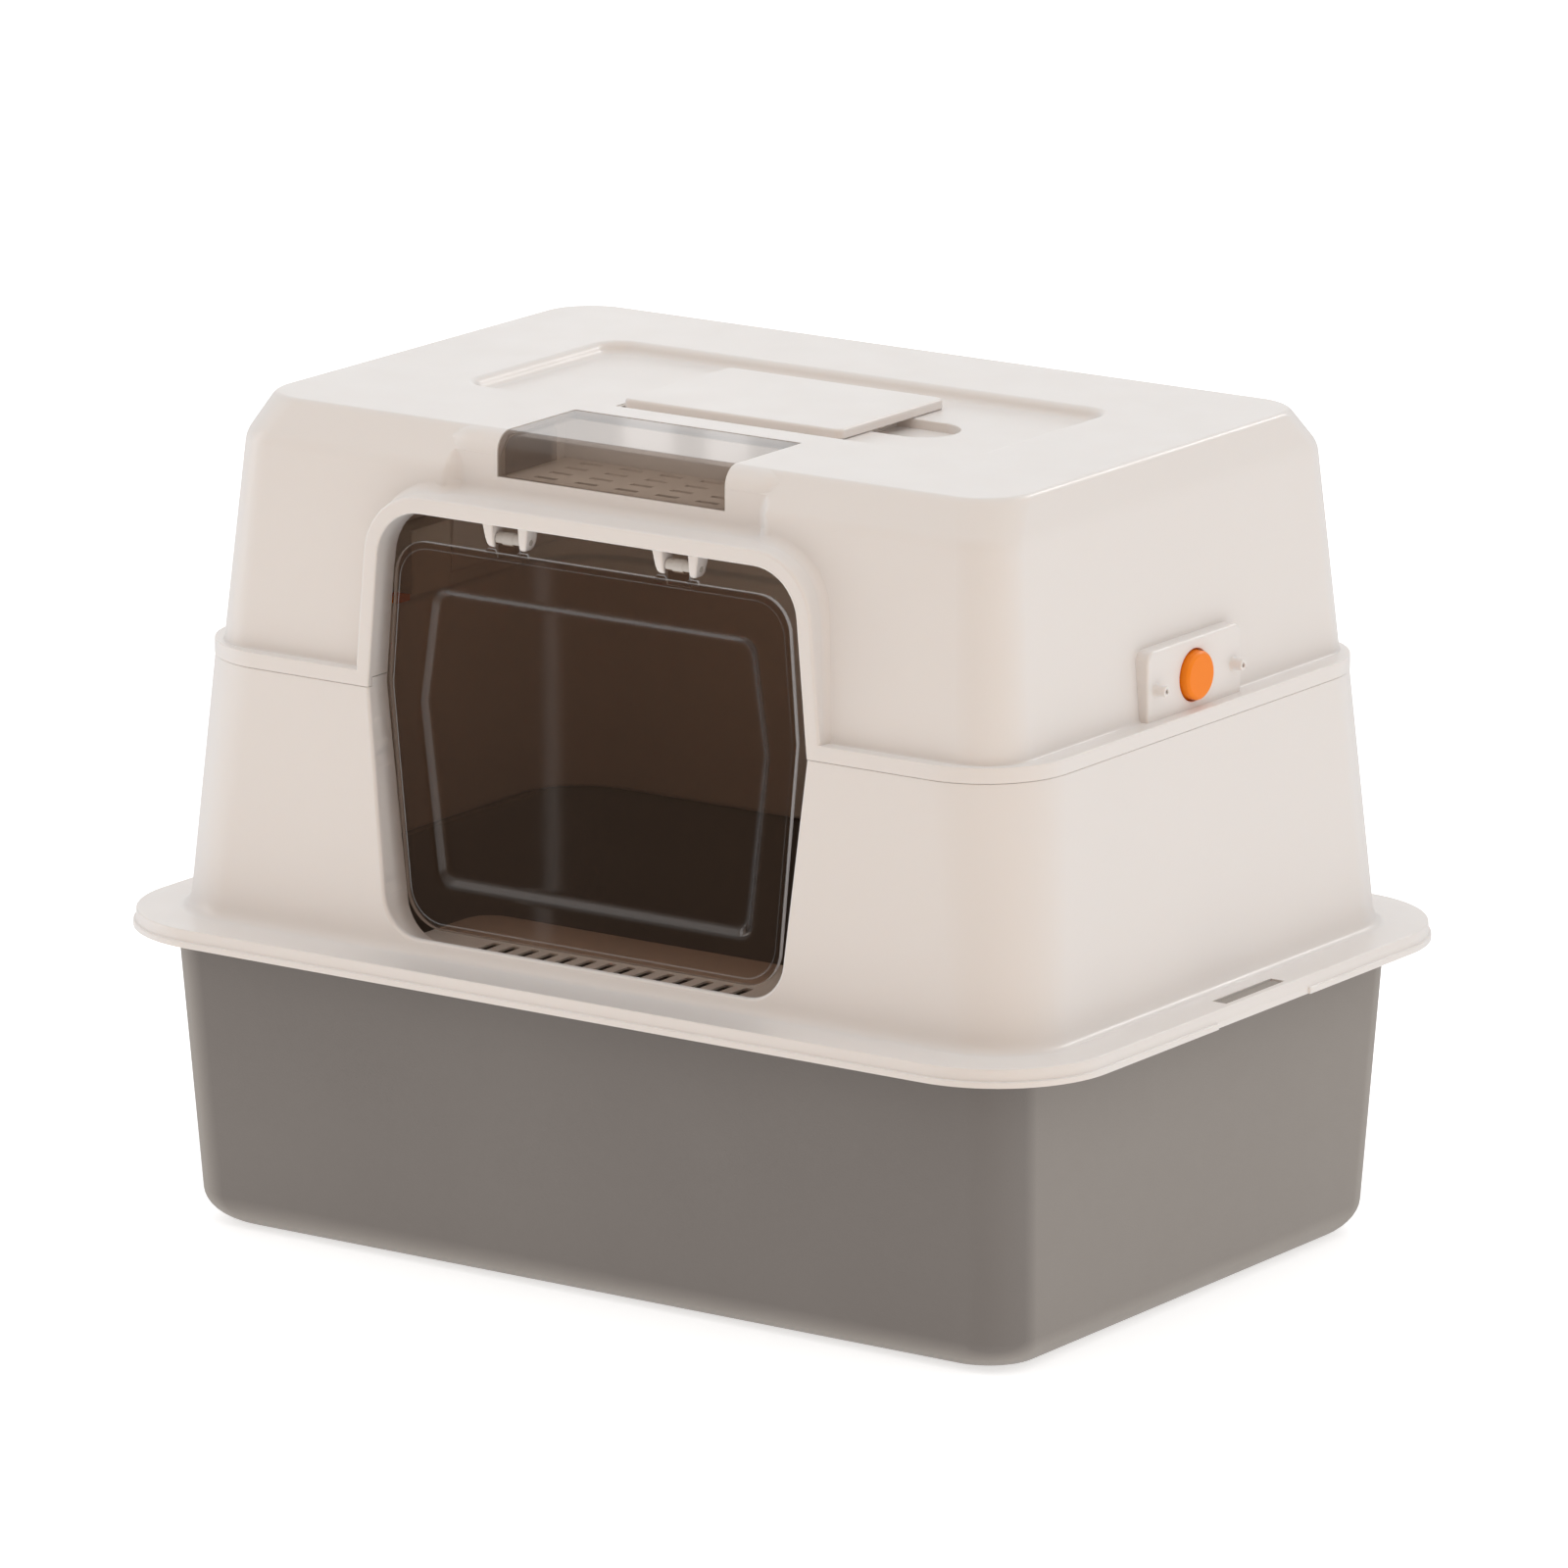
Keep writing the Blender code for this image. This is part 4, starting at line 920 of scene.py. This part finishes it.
def entry_door():
    """Flap with a web up to each hinge pin, a knuckle round the pin and two tabs beside it."""
    front = AXIS_Y - 3.69
    half = 6.8                 # half of a knuckle's length
    door = door_panel(front)
    hinges = (("left", -HINGE_X), ("right", HINGE_X))
    web = polygon([(AXIS_Y - 2.6, 345.5, 0), (AXIS_Y - 0.4, 345.5, 0),
                   (AXIS_Y - 0.4, AXIS_Z - 1.0, 0), (AXIS_Y - 2.6, AXIS_Z - 1.0, 0)])
    add(door, *[prism("web", web, "YZ", x - half, x + half) for _, x in hinges])
    cut(door, *[rod("bore", (x, AXIS_Y, AXIS_Z), RIGHT, 3.1, -8, 8, 32) for _, x in hinges])
    place_piece(clean(door), "entry_door", DOOR, "smoky_clear", "entry_door")
    barrel = [(3.0, -half), (3.0, -3.2), (3.3, -2.8), (3.3, 2.8), (3.0, 3.2), (3.0, half),
              (1.62, half), (1.62, -half)]
    for name, x in hinges:
        knuckle = lathe("door_barrel_" + name, barrel, (x, AXIS_Y, AXIS_Z), RIGHT, 32)
        place_piece(clean(knuckle, 0.35), "entry_door", PIN, "pin_clear")
    for name, x in hinges:
        for number, way in ((1, -1), (2, 1)):
            tab = door_tab(f"door_tab_{name}_{number}", x + way * 9.0, front)
            place_piece(clean(tab), "entry_door", DOOR, "smoky_clear")


# ---- vent cover ------------------------------------------
def vent_cover():
    """Window that bends from the roof down the front, with a cheek inside each end."""
    gap, wall = 0.3, 2.2
    foot, back, half = VENT_SILL_Z + gap, VENT_BACK_Y - gap, VENT_HALF - 0.4
    face_y, top_z = VENT_FACE_Y + 0.1, ROOF_Z - 0.2
    outer = bent_profile(face_y, top_z, 0.0, foot, back, 16)
    inner = bent_profile(face_y, top_z, wall, foot, back, 16)
    cover = prism("vent_window", outer + inner[::-1], "YZ", -half, half, 0.35)
    cheeks = []
    for _, side in SIDES:
        outline = bent_profile(face_y, top_z, 0.5, foot + 0.3, -98.0, 16)
        outline += [(-94.0, ROOF_Z - 6), (-94.0, foot + 0.3)]
        low, high = sorted((side * (half - 0.3), side * (half - 0.3 - wall)))
        cheeks.append(prism("cheek", outline, "YZ", low, high))
    add(cover, *cheeks)
    place_piece(clean(cover), "upper_hood", COVER, "smoky_clear", "vent_cover")


# ---- filter lid ------------------------------------------
def filter_lid():
    """Flat plate with an ear and a stub axle at each end of its hinged side."""
    x0, x1, y0, y1 = LID
    foot_z, top_z = 396.0, 400.9
    centre = ((x0 + x1) / 2, (y0 + y1) / 2)
    half_x, half_y = (x1 - x0) / 2, (y1 - y0) / 2
    sections = [(half_x - 0.5, half_y - 0.5, 3.6, foot_z, 0),
                (half_x, half_y, 4.0, foot_z + 0.5, 0.3), (half_x, half_y, 4.0, top_z, 2.2),
                (half_x - 8, half_y - 8, 1.5, top_z, 0)]
    lid = shell("lid_plate", sections, centre, 7)
    axis_x, axis_z = LID_AXIS
    front, back = WELL[2] + 2.4, WELL[3] - 2.4
    ears = block("ears", [(axis_x - 3, axis_x + 3, low, low + 2, axis_z - 3, foot_z + 1)
                          for low in (front, back - 2)])
    stubs = [rod("stub", (axis_x, front + 1, axis_z), (0, -1, 0), 1.5, 0, 3),
             rod("stub", (axis_x, back - 1, axis_z), (0, 1, 0), 1.5, 0, 3)]
    add(lid, ears, *stubs)
    place_piece(clean(lid), "filter_lid", CREAM, "hood_cream", "filter_lid")


# ---- release buttons -------------------------------------
def release_button(name, side):
    """Round button with a flange, and a finger with a tooth that reaches down to the seam."""
    flange, face, back, half, tooth_z = 13.9, 3.9, -5.2, 5, 273.5
    head = rounded([(0, face, 0), (10.1, face, 0.5), (11.4, 2.8, 0.5), (11.6, -3.0, 0)], 5)
    profile = head + [(flange, -3.0), (flange, back), (0, back)]
    button = lathe("button_" + name, profile, (side * PAD_X, CENTRE_Y, BUTTON_Z),
                   (side, 0, 0), 72)
    back_x = PAD_X + back
    finger = block("finger", [span(side, back_x - 2.2, back_x + 0.2, CENTRE_Y - half,
                                   CENTRE_Y + half, tooth_z, BUTTON_Z - 8.4)])
    tooth = block("tooth", [span(side, back_x - 1, 229.9, CENTRE_Y - half, CENTRE_Y + half,
                                 tooth_z, 277.0)])
    add(button, finger, tooth)
    body = "release_button_" + name
    place_piece(clean(button), body, ORANGE, "button_orange", body)


def button_spring(name, side):
    """Coil behind the button, drawn at one length, though the real one shortens as the button goes
    in.
    """
    low, high, turns, coil, wire, sides = 208.9, 223.9, 5, 6.2, 0.55, 8
    steps = turns * 24
    centre_z = BUTTON_Z - 1.0
    rings = []
    for step in range(steps + 1):
        angle = 2 * math.pi * turns * step / steps
        out = (math.cos(angle), math.sin(angle))
        x = low + (high - low) * step / steps
        ring = []
        for point in range(sides):
            around = -side * 2 * math.pi * point / sides
            reach = coil + wire * math.cos(around)
            ring.append((side * (x + wire * math.sin(around)), CENTRE_Y + reach * out[0],
                         centre_z + reach * out[1]))
        rings.append(ring)
    spring = loft("spring_" + name, rings)
    place_piece(clean(spring, angle=60), "upper_hood", SPRING, "spring_steel",
                "button_spring_" + name)
    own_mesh(spring)


# ---- CAD nodes that stay ---------------------------------
KEPT = {"hinge_pin": PIN, "vent_tray_screw": SCREW, "filter_tray_screw": SCREW,
        "housing_screw": SCREW, "vent_tray": INSERT, "filter_tray": INSERT,
        "latch_housing": INSERT}


def finish_kept_nodes():
    """Gives each CAD node that still shows the material of the longest matching name."""
    for node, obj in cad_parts.items():
        if obj.hide_render:
            continue
        prefix = max((key for key in KEPT if node.startswith(key)), key=len)
        obj.data.materials.clear()
        obj.data.materials.append(KEPT[prefix])
        obj.data.shade_smooth()
        obj.data.set_sharp_from_angle(angle=math.radians(CREASE))


# ---- floor, light and camera -----------------------------
CAMERA_AZIMUTH, CAMERA_ELEVATION, CAMERA_DISTANCE = math.radians(34.85), math.radians(13.87), 5.732
WHITE = (1.0, 1.0, 1.0)


def along(graph, direction):
    """How far a ray of the world points along a direction, from -1 to 1."""
    place = graph.nodes.new("ShaderNodeTexCoord")
    node = graph.nodes.new("ShaderNodeVectorMath")
    node.operation = "DOT_PRODUCT"
    node.inputs[1].default_value = direction
    graph.links.new(place.outputs["Generated"], node.inputs[0])
    return node.outputs["Value"]


def add_world():
    """Soft tent of light: warmer and dimmer to the front right, darker where the door and the
    pan mirror it, and brighter overhead."""
    world = bpy.data.worlds.new("studio")
    bpy.context.scene.world = world
    world.use_nodes = True
    graph = world.node_tree
    light = (0.98, 0.99, 1.0)
    for direction, colour, start, end in (((0.57, -0.82, 0.0), (0.72, 0.645, 0.58), -0.2, 0.95),
                                          ((0.0, -0.97, -0.24), (0.30, 0.23, 0.18), 0.62, 0.85),
                                          ((0.0, 0.0, 1.0), (1.29, 1.28, 1.26), 0.30, 0.75)):
        share = ramp(graph, along(graph, direction), 0.0, 1.0, start, end)
        light = mixed(graph, share, light, colour)
    background = graph.nodes["Background"]
    graph.links.new(light, background.inputs["Color"])
    background.inputs["Strength"].default_value = 0.70


def add_floor():
    """Pale floor that glows enough to show no edge, and that reflections don't show."""
    material, graph = new_material("floor_white")
    shader = graph.nodes["Principled BSDF"]
    shader.inputs["Base Color"].default_value = (0.80, 0.80, 0.80, 1)
    shader.inputs["Roughness"].default_value = 0.9
    shader.inputs["Specular IOR Level"].default_value = 0.1
    shader.inputs["Emission Color"].default_value = (*WHITE, 1)
    shader.inputs["Emission Strength"].default_value = 0.58
    bm = bmesh.new()
    bmesh.ops.create_grid(bm, x_segments=1, y_segments=1, size=6000.0)
    floor = to_object("floor", bm)
    floor.location.z = -0.0002
    floor.data.materials.append(material)
    floor.visible_glossy = False


def area_light(name, place, target, size, power, colour, glossy=True, diffuse=True):
    """Lamp aimed at target. glossy and diffuse say which of its light counts."""
    data = bpy.data.lights.new(name, "AREA")
    data.shape = "RECTANGLE"
    data.size, data.size_y = size
    data.energy = power
    data.color = colour
    light = bpy.data.objects.new(name, data)
    bpy.context.scene.collection.objects.link(light)
    light.location = place
    aim = Vector(target) - Vector(place)
    light.rotation_euler = aim.to_track_quat("-Z", "Y").to_euler()
    light.visible_camera = False
    light.visible_glossy = glossy
    light.visible_diffuse = diffuse


def add_lights():
    """Large soft lamps, small ones that are mirrored, and three inside the box."""
    area_light("top", (0.2, -0.5, 2.2), (0, 0, 0.2), (1.6, 1.6), 3.0, WHITE)
    area_light("right", (2.0, -0.2, 1.9), (0, 0, 0.2), (1.5, 1.5), 3.5, WHITE)
    area_light("rear", (-0.3, 2.4, 1.95), (0, 0, 0.35), (1.4, 0.5), 1.5, WHITE)
    area_light("back", (-1.45, 2.05, 0.85), (0, 0, 0.35), (1.7, 0.9), 2.2, (0.97, 0.99, 1.0))
    area_light("left", (-1.7, -0.7, 0.8), (0, 0, 0.25), (0.35, 1.2), 3.0, (1.0, 0.98, 0.96))

    # small lamps for reflections: the door's streak, the vent cover's patches, the roof's edge
    area_light("strip", (-0.312, -0.543, 0.146), (-0.027, -0.149, 0.146), (0.007, 0.21), 0.0027,
               WHITE)
    cover_y, cover_z = -0.106, 0.401
    width, height, glow = 0.19, 0.07, 1.55
    area_light("panel", (-1.390, 1.84, 0.918), (0.0, cover_y, cover_z), (width, height),
               glow * width * height, (1.0, 0.95, 0.91))
    height, glow = 0.06, 2.0
    for number, (mirror_x, width) in enumerate(((-0.001, 0.033), (0.044, 0.028))):
        area_light(f"window_{number}", (1.4259 * mirror_x - 1.355, 1.794, 0.907),
                   (mirror_x, cover_y, cover_z), (width, height), glow * width * height,
                   (1.0, 0.98, 0.97))
    area_light("edge", (0.81, 2.0, 1.79), (0.21, 0.0, 0.40), (0.3, 1.0), 14.0, WHITE,
               diffuse=False)

    # light that thin plastic would let through to the inside
    area_light("inside", (0.0, -0.03, 0.30), (0, 0.15, 0.22), (0.3, 0.1), 0.038,
               (1.0, 0.80, 0.64), glossy=False)
    area_light("vent", (0.0, -0.128, 0.396), (0, -0.09, 0.386), (0.11, 0.006), 0.002,
               (1.0, 0.95, 0.90), glossy=False)
    area_light("sill", (0.0, -0.115, 0.185), (0, -0.135, 0.154), (0.20, 0.012), 0.006,
               (1.0, 0.90, 0.80), glossy=False)


def add_camera():
    """Long lens from the front right, a little above."""
    data = bpy.data.cameras.new("camera")
    data.sensor_width = 36.0
    data.lens = 279.25
    data.clip_end = 50.0
    eye = bpy.data.objects.new("camera", data)
    bpy.context.scene.collection.objects.link(eye)
    aim = Vector((0.0018, 0.0, 0.2156))
    level = math.cos(CAMERA_ELEVATION)
    offset = Vector((math.sin(CAMERA_AZIMUTH) * level, -math.cos(CAMERA_AZIMUTH) * level,
                     math.sin(CAMERA_ELEVATION))) * CAMERA_DISTANCE
    eye.location = aim + offset
    eye.rotation_euler = (-offset).to_track_quat("-Z", "Y").to_euler()
    bpy.context.scene.camera = eye


litter_pan()
lower_hood()
upper_hood()
entry_door()
vent_cover()
filter_lid()
for side_name, side_sign in SIDES:
    release_button(side_name, side_sign)
    button_spring(side_name, side_sign)
finish_kept_nodes()

bpy.context.scene.view_settings.view_transform = "Standard"
add_world()
add_floor()
add_lights()
add_camera()
bpy.context.view_layer.update()
